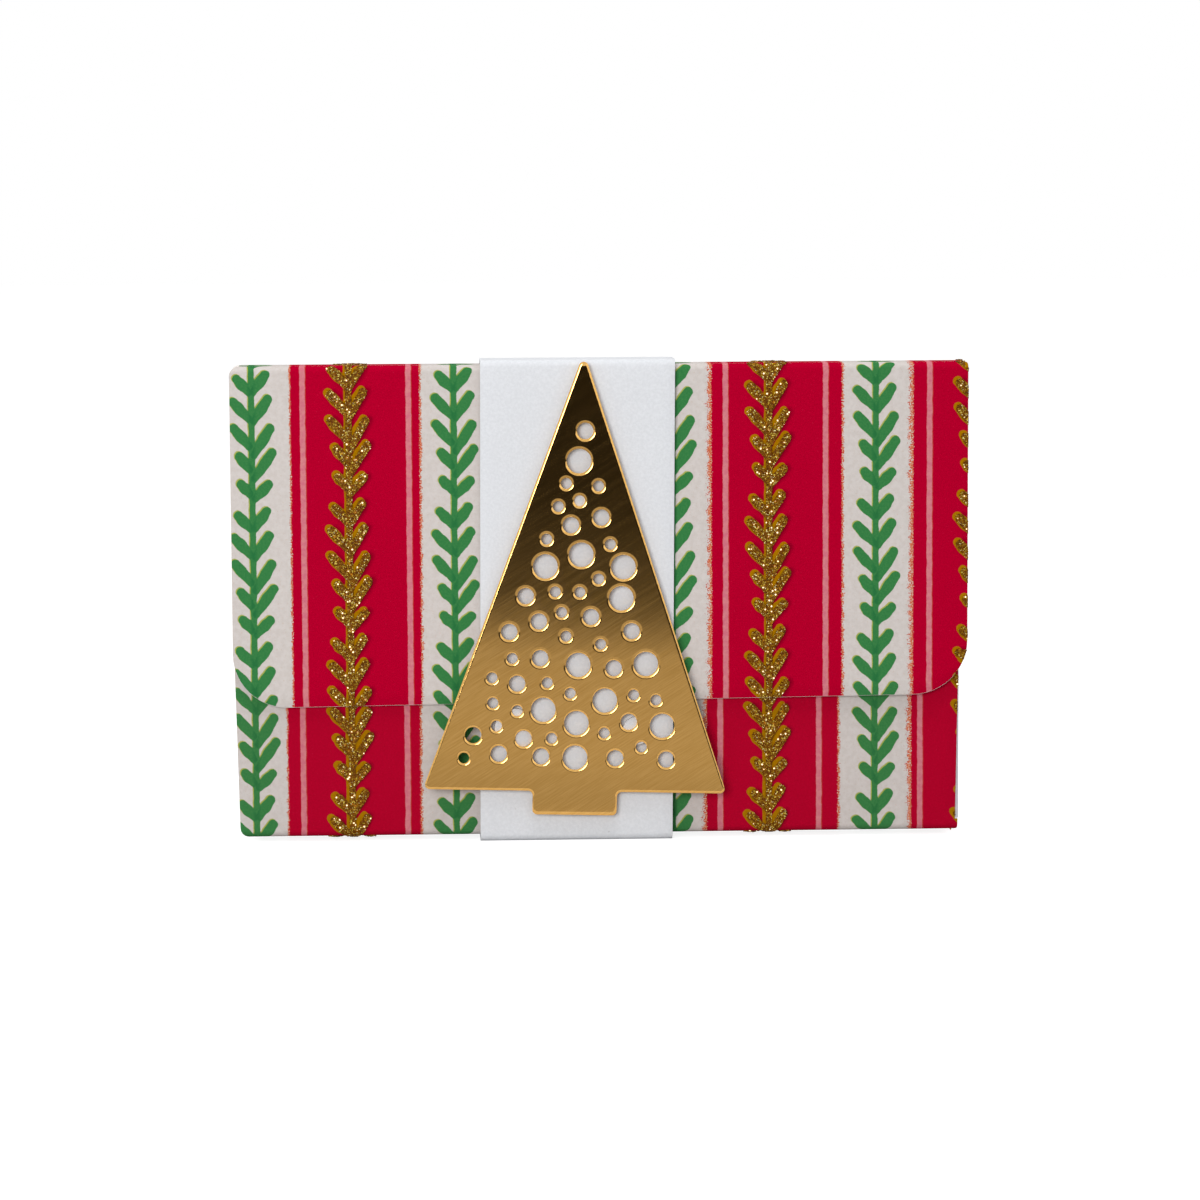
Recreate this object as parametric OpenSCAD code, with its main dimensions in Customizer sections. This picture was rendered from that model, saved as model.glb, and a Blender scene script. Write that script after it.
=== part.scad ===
// Banded gift card holder. A sheet of printed card is folded into a flat pocket with a flap, and a
// paper belly band with a perforated tree ornament keeps it shut. The holder stands on the lower
// strip of the band: Z is up, X runs along the creases and the flap faces -Y. The origin is at the
// middle of the holder, on the surface that it stands on.

/* [Sleeve] */
// Width of the sleeve, along its creases
body_w = 108; // [96:0.5:126]
// Height of the sleeve, from the bottom crease to the top crease
body_h = 69.3; // [62:0.1:84]
// Depth of the sleeve, from its back to the face of the flap
body_d = 6.35; // [6:0.05:12]
// Thickness of the card
card_t = 0.35; // [0.25:0.05:0.45]
// Outside radius of each crease
crease_r = 0.9; // [0.7:0.1:1.4]
// Gap that the flap leaves between itself and its crease's neighbour
crease_gap = 0.05; // [0.03:0.01:0.1]
// Radius to which the left and the right ends of the top and bottom creases are rounded
CREASE_END_R = [1.4, 0.4];

/* [Flap] */
// Height of the flap, from the top crease to the middle of its lower edge
flap_h = 49.9; // [42:0.1:56]
// Radius of the flap's two lower corners
flap_corner_r = 8; // [3:0.5:14]
// How much higher the flap's lower edge ends at the right than at the left
flap_slant = 0.8; // [0:0.1:2]
// Gap between the flap and the pocket panel behind it
flap_gap = 0.35; // [0.25:0.05:0.6]

/* [Pocket] */
// Height of the pocket panel
pocket_h = 33.8; // [24:0.1:44]
// How far the pocket panel is cut back at each side of its mouth from the sleeve's width
pocket_inset = 0.5; // [0.5:0.1:2]
// How much the pocket panel narrows at each side towards its lower crease
pocket_taper = 0.7; // [0:0.1:2]
// How far the pocket panel sits to the left of the middle
pocket_shift = 0.5; // [0:0.1:0.5]
// Radius of the pocket panel's two upper corners
pocket_corner_r = 1; // [0.4:0.1:3]
// How far each side gusset stands in from the edge of the back panel
side_inset = 1; // [0.6:0.1:2]
// Height at which the side gussets start, above the bottom crease
gusset_foot = 1.6; // [1.5:0.1:6]
// How far the side gussets end below the mouth of the pocket
gusset_drop = 1.2; // [0.5:0.1:6]
// Width of the glue tabs behind the pocket panel
tab_w = 9; // [6:0.5:14]
// Slant at the upper and lower end of each glue tab
tab_slant = 3; // [0:0.5:5]
// Width of the tape on each glue tab
tab_tape_w = 5; // [3:0.5:6]
// Thickness of the double-sided tape
tape_t = 0.1; // [0.05:0.01:0.15]

/* [Garlands] */
// Distance between the stems of neighbouring glitter garlands
garland_pitch = 30.7; // [20:0.1:45]
// How far the stem behind the belly band lies to the left of the middle of the sleeve
garland_shift = 6; // [0:0.1:20]
// Width of a garland's stem
stem_w = 0.9; // [0.6:0.1:1.2]
// Radius of the round end of a leaf
leaf_r = 0.64; // [0.5:0.02:0.8]
// Half the width of a leaf where it leaves the stem
leaf_root = 0.6; // [0.4:0.02:0.7]
// Height of the glitter above the card
glitter_h = 0.2; // [0.1:0.05:0.25]
// How far below the top crease the smallest leaves of the flap's middle garland branch off
flap_phase = 17.7; // [16:0.1:20]
// How much higher each of the flap's garlands lies than its neighbour on the left
flap_rise = 0.37; // [0:0.01:1]
// How far the smallest leaves of the pocket's garlands branch off above the bottom crease
pocket_phase = 8.4; // [6:0.1:10]

/* [Belly band] */
// Width of the belly band
band_w = 28.4; // [20:0.1:40]
// How far the middle of the band lies to the left of the middle of the sleeve
band_shift = 3.3; // [0:0.1:20]
// Thickness of the band's paper
band_t = 0.25; // [0.15:0.05:0.35]
// Inside radius of the band's four bends
band_bend_r = 0.8; // [0.5:0.1:1.2]
// Play between the band and the face of the flap
play_front = 0.7; // [0.5:0.05:1.5]
// Play between the band and the back of the sleeve
play_back = 0.4; // [0.3:0.05:1]
// Play between the band and the two creased ends of the sleeve
play_end = 0.5; // [0.3:0.05:0.8]
// Height of the lap in which the band's two ends are joined
lap_h = 14; // [8:0.5:30]
// Height of the tape in that lap
lap_tape_h = 9; // [5:0.5:20]

/* [Tree ornament] */
// Width of the tree at its base
tree_w = 44.6; // [38:0.1:52]
// Height from the tree's base to the point where its two sides would meet
tree_h = 64.5; // [56:0.1:66]
// Width of the trunk
trunk_w = 12.4; // [8:0.1:16]
// Height of the trunk below the base
trunk_h = 3.5; // [2:0.1:6]
// Thickness of the tree's sheet metal
tree_t = 0.4; // [0.3:0.05:0.6]
// Width of the raised edge along the outline
edge_w = 0.45; // [0.3:0.05:0.6]
// Width of the raised rim round each hole
rim_w = 0.26; // [0.2:0.02:0.3]
// Height of the raised edge and of the rims
rim_h = 0.16; // [0.1:0.02:0.2]
// Radius of the tip, of the two base corners and of the trunk's corners
tree_corner_r = 0.7; // [0.7:0.1:1.5]
// Radii of the small, the middle and the large holes
HOLE_R = [0.8, 1.2, 1.8];
// Turn of the tree on the band, clockwise as seen from the front
tree_turn = 1.5; // [0:0.1:3]
// How far the middle of the tree's base lies to the left of the middle of the sleeve
tree_shift = 4.1; // [0:0.1:20]
// Height of the tree's base above the bottom crease
tree_rise = 6.75; // [6:0.05:12]
// Radius of the foam pads behind the tree
pad_r = 3.2; // [2:0.1:3.5]
// Thickness of the foam pads
pad_t = 0.8; // [0.5:0.1:2]

/* [Hidden] */
$fn = 64;

// Planes from the back to the front
stack_d = 2 * band_t + tape_t + play_back + body_d + play_front + band_t + pad_t + tree_t + rim_h;
rear_y = stack_d / 2;
inner_ply_y = rear_y - band_t - tape_t;
back_y = inner_ply_y - band_t - play_back;
flap_y = back_y - body_d;
pocket_y = flap_y + card_t + flap_gap;
tab_y = pocket_y + card_t + tape_t;
band_y = flap_y - play_front - band_t;
tree_y = band_y - pad_t;

// Levels from the bottom to the top
foot_z = band_t + play_end;
top_z = foot_z + body_h;
band_top_z = top_z + play_end + band_t;
mouth_z = foot_z + pocket_h;
gusset_z0 = foot_z + gusset_foot;
gusset_z1 = mouth_z - gusset_drop;
flap_z = top_z - flap_h;

// Places across the width
half_w = body_w / 2;
gusset_x = half_w - side_inset;
mouth_x0 = -half_w + pocket_inset - pocket_shift;
mouth_x1 = half_w - pocket_inset - pocket_shift;
foot_x0 = mouth_x0 + pocket_taper;
foot_x1 = mouth_x1 - pocket_taper;
garland_x0 = -garland_shift;
band_x0 = -band_shift - band_w / 2;
lap_z0 = (foot_z + top_z - lap_h) / 2;
lap_z1 = lap_z0 + lap_h;

// Steps in a rounded corner of an outline, and in the round end of a leaf
CORNER_STEPS = 8;
LEAF_STEPS = 4;

// One cycle of the leaves at each side of a garland's stem, from the smallest leaf down. Each leaf
// holds its step down from the leaf above it, then its reach and its rise.
LEFT_LEAVES = [[3.6, 2, 2.4], [5, 2.5, 2.8], [3.9, 3.1, 3.4], [4, 3, 3.6], [3.4, 2.2, 2.9]];
RIGHT_LEAVES = [[2.9, 2.8, 2.9], [4.4, 2.4, 3.5], [4.3, 2.7, 4.2], [4.9, 3, 4.9], [3.4, 3.3, 4.7]];
// How far the right-hand leaves branch off below the left-hand ones
right_leaf_drop = 0.6;
// More than any leaf reaches from its root, sideways or upwards
leaf_reach = 5;

// The holes were laid out on a tree of this width and height, and stretch with the tree
layout_w = 44.6;
layout_h = 64.5;
S = 0;
M = 1;
L = 2;
// Each hole's place across from the tree's middle, its height above the base and its size
HOLES = [
    [0.4, 53, M], [-0.4, 48.6, L], [-2.2, 45.3, S], [2.5, 45, S], [-0.2, 42.8, S],
    [-3.3, 41.9, S], [3, 40.4, M], [-1.4, 39.2, M], [-4.9, 37.1, S], [4.4, 36.5, S],
    [0.2, 34.9, L], [-5, 33.1, L], [6.4, 33.2, L], [2.8, 31.4, S], [-7.8, 28.7, M],
    [-3.5, 29.4, S], [0.1, 29.4, S], [6.2, 28.6, L], [-2.5, 26.4, S], [-5.8, 25, M],
    [1.8, 25.8, M], [-10.1, 23.4, M], [-1.8, 22.9, S], [3.3, 21.8, S], [7.8, 23.8, M],
    [-9.6, 19.5, S], [-5.5, 19.6, M], [0.1, 18.7, L], [5.3, 18.3, M], [10, 19, L],
    [-12.5, 16.6, S], [-8.8, 15.8, M], [-4.4, 16, S], [-1, 14.5, S], [4.1, 13.5, L],
    [8.3, 14.4, S], [11.6, 13.7, S], [-12.3, 12.9, S], [-8.7, 11.8, S], [-4.9, 12, L],
    [0, 10.1, L], [7.7, 10.4, M], [12.6, 9.9, L], [-15.1, 8.1, M], [-11.7, 9.5, S],
    [-7.7, 7.7, M], [-3.6, 7.8, S], [4.1, 8.7, S], [9.6, 6.7, S], [-16.4, 4.7, S],
    [-11.3, 5.4, M], [-5.1, 5.1, M], [-0.1, 5, L], [5.8, 5, M], [13.3, 4.9, M],
];

// Outlines

function unit(v) = v / norm(v);

function turned(v) = [v[1], -v[0]];

// A corner of an outline, rounded by an arc that meets both of its sides. before and after are its
// neighbours, and an outline runs anticlockwise.
function arc_at(before, corner, after, r) =
    let (
        u = unit(before - corner),
        v = unit(after - corner),
        half = acos(u * v) / 2,
        middle = corner + unit(u + v) * r / sin(half),
        first = corner + u * r / tan(half) - middle,
        last = corner + v * r / tan(half) - middle,
        way = cross(first, last) > 0 ? 1 : -1,
        start = atan2(first[1], first[0])
    )
    [for (k = [0:CORNER_STEPS])
        let (a = start + way * (180 - 2 * half) * k / CORNER_STEPS)
        middle + r * [cos(a), sin(a)]];

function rounded(points, radii) =
    let (n = len(points))
    [for (k = [0:n - 1])
        each radii[k] > 0
            ? arc_at(points[(k + n - 1) % n], points[k], points[(k + 1) % n], radii[k])
            : [points[k]]];

// An outline whose every side moves inwards by d
function inset(points, d) =
    let (n = len(points))
    [for (k = [0:n - 1])
        let (
            u = unit(points[k] - points[(k + n - 1) % n]),
            v = unit(points[(k + 1) % n] - points[k]),
            side = turned(u),
            turn = 1 + u * v
        )
        points[k] - (side + turned(v)) * d / turn];

// The garland's outline, which covers z0 to z1 and runs on past both for the panel's edge to cut
// off. Its smallest pairs branch off at phase_z and at whole cycles from there.

function leaf(root, reach, rise) =
    let (
        way = unit([reach, rise]),
        across = turned(way),
        end = root + [reach, rise] - way * leaf_r,
        low = root + across * leaf_root,
        high = root - across * leaf_root,
        low_end = end + across * leaf_r,
        high_end = end - across * leaf_r,
        edge = root[0] + stem_w / 2,
        low_share = (edge - low[0]) / (low_end[0] - low[0]),
        high_share = (edge - high[0]) / (high_end[0] - high[0])
    )
    [
        low + (low_end - low) * low_share,
        for (k = [0:LEAF_STEPS])
            let (a = 180 * k / LEAF_STEPS)
            end + leaf_r * (across * cos(a) + way * sin(a)),
        high + (high_end - high) * high_share
    ];

// The steps down from the cycle's smallest leaf to its leaf number k
function step_down(leaves, k) = k == 0 ? 0 : leaves[k][0] + step_down(leaves, k - 1);

function cycle(leaves) = step_down(leaves, len(leaves) - 1) + leaves[0][0];

// Every leaf that branches off between z0 and z1, from the lowest up, as [root, reach, rise]
function branches(leaves, z0, z1, phase_z) =
    let (
        length = cycle(leaves),
        first = floor((z0 - phase_z) / length),
        last = ceil((z1 - phase_z) / length) + 1
    )
    [for (c = [first:last])
        for (k = [len(leaves) - 1:-1:0])
            let (z = phase_z + c * length - step_down(leaves, k))
            if (z > z0 && z < z1) [z, leaves[k][1], leaves[k][2]]];

function garland(z0, z1, phase_z) =
    let (
        lefts = branches(LEFT_LEAVES, z0 - leaf_reach, z1, phase_z),
        rights = branches(RIGHT_LEAVES, z0 - leaf_reach, z1, phase_z - right_leaf_drop),
        low = z0 - 2 * leaf_reach,
        high = z1 + 2 * leaf_reach
    )
    [
        [stem_w / 2, low],
        for (b = rights) each leaf([0, b[0]], b[1], b[2]),
        [stem_w / 2, high],
        [-stem_w / 2, high],
        for (j = [len(lefts) - 1:-1:0])
            let (points = leaf([0, lefts[j][0]], lefts[j][1], lefts[j][2]))
            for (i = [len(points) - 1:-1:0]) [-points[i][0], points[i][1]],
        [-stem_w / 2, low]
    ];

// Ways to turn an outline into a solid

// A profile drawn as [y, z], drawn out from x0 to x1
module along_x(x0, x1) {
    translate([x0, 0, 0])
        rotate([90, 0, 90])
            linear_extrude(x1 - x0)
                children();
}

// A profile drawn as [x, y], drawn out from z0 to z1
module along_z(z0, z1) {
    translate([0, 0, z0])
        linear_extrude(z1 - z0)
            children();
}

// A plate drawn as [x, z], with its front face at y and its back face t behind it
module plate(y, t) {
    translate([0, y + t, 0])
        rotate([90, 0, 0])
            linear_extrude(t)
                children();
}

// A quarter of a bend round centre, in the quadrant that the signs of side name
module bend(centre, side, r, t) {
    translate(centre)
        intersection() {
            difference() {
                circle(r);
                circle(r - t);
            }
            translate([side[0] > 0 ? 0 : -r, side[1] > 0 ? 0 : -r])
                square(r);
        }
}

// A rectangle between two opposite corners
module span(low, high) {
    translate(low)
        square(high - low);
}

// Outlines of the panels as seen from the front, with their creases

module back_outline() {
    corners = [
        [-half_w, gusset_z1], [-gusset_x + crease_r, gusset_z1],
        [-gusset_x + crease_r, gusset_z0], [-gusset_x, gusset_z0],
        [-gusset_x, foot_z], [gusset_x, foot_z],
        [gusset_x, gusset_z0], [gusset_x - crease_r, gusset_z0],
        [gusset_x - crease_r, gusset_z1], [half_w, gusset_z1],
        [half_w, top_z], [-half_w, top_z]
    ];
    polygon(rounded(corners, [0, 0, 0, 0, 0, 0, 0, 0, 0, 0, CREASE_END_R[1], CREASE_END_R[0]]));
}

module flap_outline() {
    corners = [
        [-half_w, flap_z - flap_slant / 2], [half_w, flap_z + flap_slant / 2],
        [half_w, top_z], [-half_w, top_z]
    ];
    polygon(rounded(corners, [flap_corner_r, flap_corner_r, CREASE_END_R[1], CREASE_END_R[0]]));
}

module pocket_outline() {
    corners = [[foot_x0, foot_z], [foot_x1, foot_z], [mouth_x1, mouth_z], [mouth_x0, mouth_z]];
    radii = [CREASE_END_R[0], CREASE_END_R[1], pocket_corner_r, pocket_corner_r];
    polygon(rounded(corners, radii));
}

// The part of an outline that lies flat, between two levels
module between(z0, z1) {
    intersection() {
        children();
        span([-body_w, z0], [body_w, z1]);
    }
}

// What an outline leaves of the solid that is drawn after it, all through the holder's depth
module cut_to_outline() {
    intersection() {
        plate(-stack_d, 2 * stack_d)
            children(0);
        children(1);
    }
}

module garlands(z0, z1, phase_z, rise = 0) {
    reach = half_w + leaf_reach;
    first = ceil((-reach - garland_x0) / garland_pitch);
    last = floor((reach - garland_x0) / garland_pitch);
    for (k = [first:last])
        translate([garland_x0 + k * garland_pitch, 0])
            polygon(garland(z0, z1, phase_z + k * rise));
}

// The card sheet

module back_panel() {
    color("firebrick")
        plate(back_y - card_t, card_t)
            between(foot_z + crease_r, top_z - crease_r)
                back_outline();
}

module top_spine() {
    color("crimson")
        cut_to_outline() {
            flap_outline();
            along_x(-half_w, half_w) {
                span([flap_y + crease_r + crease_gap, top_z - card_t], [back_y - crease_r, top_z]);
                bend([back_y - crease_r, top_z - crease_r], [1, 1], crease_r, card_t);
            }
        }
}

module bottom_gusset() {
    color("crimson")
        cut_to_outline() {
            pocket_outline();
            along_x(-half_w, half_w) {
                span([pocket_y + crease_r, foot_z], [back_y - crease_r, foot_z + card_t]);
                bend([pocket_y + crease_r, foot_z + crease_r], [-1, -1], crease_r, card_t);
                bend([back_y - crease_r, foot_z + crease_r], [1, -1], crease_r, card_t);
            }
        }
}

module pocket_panel() {
    color("crimson")
        plate(pocket_y, card_t)
            between(foot_z + crease_r, mouth_z)
                pocket_outline();
}

// The gusset at the right, which runs from its crease on the back panel to that of its glue tab
module gusset() {
    color("whitesmoke")
        along_z(gusset_z0, gusset_z1) {
            span([gusset_x - card_t, tab_y + crease_r], [gusset_x, back_y - crease_r]);
            bend([gusset_x - crease_r, back_y - crease_r], [1, 1], crease_r, card_t);
            bend([gusset_x - crease_r, tab_y + crease_r], [1, -1], crease_r, card_t);
        }
}

module glue_tab() {
    color("whitesmoke")
        plate(tab_y, card_t)
            polygon([
                [gusset_x - crease_r, gusset_z0], [gusset_x - crease_r, gusset_z1],
                [gusset_x - tab_w, gusset_z1 - tab_slant],
                [gusset_x - tab_w, gusset_z0 + tab_slant]
            ]);
}

module tab_tape() {
    tape_x = gusset_x - (tab_w + tab_tape_w) / 2;
    color("gainsboro")
        plate(tab_y - tape_t, tape_t)
            span([tape_x, gusset_z0 + tab_slant], [tape_x + tab_tape_w, gusset_z1 - tab_slant]);
}

module left_gusset() {
    mirror([1, 0, 0])
        gusset();
}

module right_gusset() {
    gusset();
}

module left_glue_tab() {
    mirror([1, 0, 0])
        glue_tab();
}

module right_glue_tab() {
    glue_tab();
}

module left_tab_tape() {
    mirror([1, 0, 0])
        tab_tape();
}

module right_tab_tape() {
    tab_tape();
}

// The flap with its half of the crease, which is round about the line that the flap turns on
module front_flap() {
    color("crimson")
        cut_to_outline() {
            flap_outline();
            union() {
                plate(flap_y, card_t)
                    span([-half_w, flap_z - flap_slant], [half_w, top_z - crease_r]);
                along_x(-half_w, half_w)
                    bend([flap_y + crease_r, top_z - crease_r], [-1, 1], crease_r, card_t);
            }
        }
}

// The raised glitter. The garlands run up the flap, on over the spine and down the back, and from
// the bottom gusset up the pocket.

module flap_glitter() {
    color("goldenrod")
        plate(flap_y - glitter_h, glitter_h)
            between(flap_z - flap_slant, top_z - crease_r)
                intersection() {
                    garlands(flap_z - flap_slant, top_z, top_z - flap_phase, flap_rise);
                    flap_outline();
                }
}

module spine_glitter() {
    color("goldenrod")
        along_z(top_z, top_z + glitter_h)
            translate([0, flap_y - top_z])
                intersection() {
                    garlands(top_z, top_z + body_d, top_z - flap_phase, flap_rise);
                    span([-half_w + CREASE_END_R[0], top_z + crease_r + crease_gap],
                        [half_w - CREASE_END_R[1], top_z + body_d - crease_r]);
                }
}

module back_glitter() {
    color("goldenrod")
        plate(back_y, glitter_h)
            intersection() {
                translate([0, 2 * top_z + body_d])
                    mirror([0, 1])
                        garlands(top_z + body_d, top_z + body_d + body_h, top_z - flap_phase,
                            flap_rise);
                between(foot_z + crease_r, top_z - crease_r)
                    back_outline();
            }
}

module bottom_glitter() {
    gusset_d = back_y - pocket_y;
    color("goldenrod")
        along_z(foot_z - glitter_h, foot_z)
            translate([0, pocket_y])
                mirror([0, 1])
                    intersection() {
                        garlands(-gusset_d, 0, pocket_phase);
                        span([foot_x0 + CREASE_END_R[0], crease_r - gusset_d],
                            [foot_x1 - CREASE_END_R[1], -crease_r]);
                    }
}

module pocket_glitter() {
    color("goldenrod")
        plate(pocket_y - glitter_h, glitter_h)
            between(foot_z + crease_r, mouth_z)
                intersection() {
                    garlands(foot_z, mouth_z, foot_z + pocket_phase);
                    pocket_outline();
                }
}

// The belly band

module band_front() {
    bend_d = band_bend_r + band_t;
    color("white")
        plate(band_y, band_t)
            span([band_x0, bend_d], [band_x0 + band_w, band_top_z - bend_d]);
}

module band_top() {
    bend_d = band_bend_r + band_t;
    color("white")
        along_x(band_x0, band_x0 + band_w) {
            span([band_y + bend_d, band_top_z - band_t], [rear_y - bend_d, band_top_z]);
            bend([band_y + bend_d, band_top_z - bend_d], [-1, 1], bend_d, band_t);
            bend([rear_y - bend_d, band_top_z - bend_d], [1, 1], bend_d, band_t);
        }
}

module band_bottom() {
    bend_d = band_bend_r + band_t;
    color("white")
        along_x(band_x0, band_x0 + band_w) {
            span([band_y + bend_d, 0], [inner_ply_y - bend_d, band_t]);
            bend([band_y + bend_d, bend_d], [-1, -1], bend_d, band_t);
            bend([inner_ply_y - bend_d, bend_d], [1, -1], bend_d, band_t);
        }
}

module band_back_inner_ply() {
    color("white")
        plate(inner_ply_y - band_t, band_t)
            span([band_x0, band_bend_r + band_t], [band_x0 + band_w, lap_z1]);
}

module band_back_outer_ply() {
    color("white")
        plate(rear_y - band_t, band_t)
            span([band_x0, lap_z0], [band_x0 + band_w, band_top_z - band_bend_r - band_t]);
}

module band_lap_tape() {
    tape_z = (lap_z0 + lap_z1 - lap_tape_h) / 2;
    color("gainsboro")
        plate(inner_ply_y, tape_t)
            span([band_x0, tape_z], [band_x0 + band_w, tape_z + lap_tape_h]);
}

// The tree ornament

TREE_CORNERS = [
    [tree_w / 2, 0], [0, tree_h], [-tree_w / 2, 0],
    [-trunk_w / 2, 0], [-trunk_w / 2, -trunk_h], [trunk_w / 2, -trunk_h], [trunk_w / 2, 0]
];

// Puts a thing drawn in the tree's own frame, with its base's middle at the origin, on the band
module on_band(y) {
    translate([-tree_shift, y, foot_z + tree_rise])
        rotate([0, tree_turn, 0])
            children();
}

// The radii of the outline's corners, where growth widens the trunk's two inner corners
function tree_radii(growth) =
    let (
        out = tree_corner_r - growth,
        in = tree_corner_r + growth
    )
    [out, out, out, in, out, out, in];

module hole_rim(r) {
    rotate_extrude()
        translate([r, 0])
            union() {
                square([rim_w, tree_t / 2 + rim_h - rim_w / 2]);
                translate([rim_w / 2, tree_t / 2 + rim_h - rim_w / 2])
                    circle(rim_w / 2);
            }
}

module at_hole(hole) {
    translate([hole[0] * tree_w / layout_w, 0, hole[1] * tree_h / layout_h])
        rotate([90, 0, 0])
            children();
}

module tree_ornament() {
    deep = tree_t + rim_h;
    color("gold")
        on_band(tree_y)
            difference() {
                union() {
                    difference() {
                        plate(-deep, deep)
                            polygon(rounded(TREE_CORNERS, tree_radii(0)));
                        plate(-2 * deep, deep + rim_h)
                            polygon(rounded(inset(TREE_CORNERS, edge_w), tree_radii(edge_w)));
                    }
                    for (hole = HOLES)
                        at_hole(hole)
                            translate([0, 0, tree_t / 2])
                                hole_rim(HOLE_R[hole[2]]);
                }
                for (hole = HOLES)
                    at_hole(hole)
                        cylinder(h = 4 * deep, r = HOLE_R[hole[2]], center = true);
            }
}

module foam_pad(x, z) {
    color("white")
        on_band(tree_y)
            translate([x, pad_t, z])
                rotate([90, 0, 0])
                    cylinder(h = pad_t, r = pad_r);
}

module upper_foam_pad() {
    foam_pad(0, 0.66 * tree_h);
}

module left_foam_pad() {
    foam_pad(-0.2 * tree_w, 0.14 * tree_h);
}

module right_foam_pad() {
    foam_pad(0.2 * tree_w, 0.14 * tree_h);
}

back_panel();
top_spine();
bottom_gusset();
pocket_panel();
left_gusset();
right_gusset();
left_glue_tab();
right_glue_tab();
left_tab_tape();
right_tab_tape();
front_flap();
flap_glitter();
spine_glitter();
back_glitter();
bottom_glitter();
pocket_glitter();
band_front();
band_top();
band_bottom();
band_back_inner_ply();
band_back_outer_ply();
band_lap_tape();
tree_ornament();
upper_foam_pad();
left_foam_pad();
right_foam_pad();
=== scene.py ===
"""Dresses a banded gift card holder: printed card with glitter garlands, a paper belly band and a
perforated gold tree. Lengths are in metres, except on the print, whose pattern is laid out in
millimetres."""

import math

import bmesh
import bpy
import numpy as np
from bpy.props import FloatProperty, FloatVectorProperty, IntProperty, PointerProperty
from mathutils import Matrix, Vector
from mathutils.geometry import delaunay_2d_cdt


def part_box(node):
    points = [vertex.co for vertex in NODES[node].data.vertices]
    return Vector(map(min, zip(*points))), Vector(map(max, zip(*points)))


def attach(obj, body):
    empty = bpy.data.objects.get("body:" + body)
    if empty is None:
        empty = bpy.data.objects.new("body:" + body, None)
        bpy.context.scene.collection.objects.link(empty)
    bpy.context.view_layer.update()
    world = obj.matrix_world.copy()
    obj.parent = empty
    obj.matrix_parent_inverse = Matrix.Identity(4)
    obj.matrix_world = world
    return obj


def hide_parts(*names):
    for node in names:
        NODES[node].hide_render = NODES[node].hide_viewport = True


bl_info = {
    "name": "Banded gift card holder",
    "version": (1, 0, 0),
    "blender": (4, 5, 0),
    "location": "View3D > Sidebar > Card holder",
    "description": "Makes the card, glitter, belly band, tree and studio of a gift card holder",
    "category": "Object",
}

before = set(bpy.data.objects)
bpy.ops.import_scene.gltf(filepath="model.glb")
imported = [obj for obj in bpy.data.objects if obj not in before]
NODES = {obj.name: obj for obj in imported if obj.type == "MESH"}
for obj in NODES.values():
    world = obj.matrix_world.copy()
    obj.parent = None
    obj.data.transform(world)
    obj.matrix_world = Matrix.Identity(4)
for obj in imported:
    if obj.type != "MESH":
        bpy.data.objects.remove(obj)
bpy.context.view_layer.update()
LOW = {name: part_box(name)[0] for name in NODES}
HIGH = {name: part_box(name)[1] for name in NODES}
MM = 0.001

# Planes, levels and places of the card, read from the frame
HALF_W = HIGH["front_flap"].x
TOP_Z = HIGH["top_spine"].z
FOOT_Z = LOW["bottom_gusset"].z
FLAP_Y = LOW["front_flap"].y
BACK_Y = HIGH["back_panel"].y
POCKET_Y = LOW["pocket_panel"].y
MOUTH_Z = HIGH["pocket_panel"].z
CARD_T = BACK_Y - LOW["back_panel"].y
CREASE_R = TOP_Z - HIGH["back_panel"].z
FLAP_FOOT_Z = LOW["front_flap"].z
POCKET_SIDES = (LOW["pocket_panel"].x, HIGH["pocket_panel"].x)
GUSSET_X = HIGH["right_gusset"].x
GUSSET_Z0 = LOW["right_gusset"].z
GUSSET_Z1 = HIGH["right_gusset"].z

# The radius of the corners of the pocket's mouth, and the length in which the sheet's sides step
MOUTH_CORNER = 1.0 * MM
TIGHT = 0.03 * MM

# Where the patterns of the flap and the pocket start, in millimetres from the nearest crease, and
# how much higher a garland lies on the flap than its neighbour on the left
FLAP_PHASE = 17.7
POCKET_PHASE = 8.4
FLAP_RISE = 0.37

# One cycle of the leaves at each side of a stem, from the smallest leaf down: the step down from
# the leaf above, the reach and the rise, in millimetres
LEFT_LEAVES = [(3.6, 2, 2.4), (5, 2.5, 2.8), (3.9, 3.1, 3.4), (4, 3, 3.6), (3.4, 2.2, 2.9)]
RIGHT_LEAVES = [(2.9, 2.8, 2.9), (4.4, 2.4, 3.5), (4.3, 2.7, 4.2), (4.9, 3, 4.9), (3.4, 3.3, 4.7)]
RIGHT_DROP = 0.6
CYCLE = sum(leaf[0] for leaf in LEFT_LEAVES)

# The leaves' radius, their start from the stem, how far above its start a leaf's round end may
# reach, and the stems' half width in ink and in glitter, in millimetres. The leaves at the right of
# a gold stem are narrower by a share.
LEAF_R = 0.64
LEAF_START = 0.6
LEAF_MARGIN = 2.0
INK_STEM_R = 0.44
GLITTER_STEM_R = 0.45
RIGHT_SHARE = 0.91

# The glitter on the spine is thinner than in the construction by this share
SPINE_SHARE = 0.6

# The stems of the gold and the green garlands, in millimetres from the middle of the card
GOLD_PITCH = 30.7
GOLD_MIDDLE = -6.0
GOLD_STEMS = [GOLD_MIDDLE + GOLD_PITCH * k for k in (-1, 0, 1, 2)]
GREEN_STEMS = [-50.8, -21.4, 10.5, 40.4]
GREEN_DROP = 0.83

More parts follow.
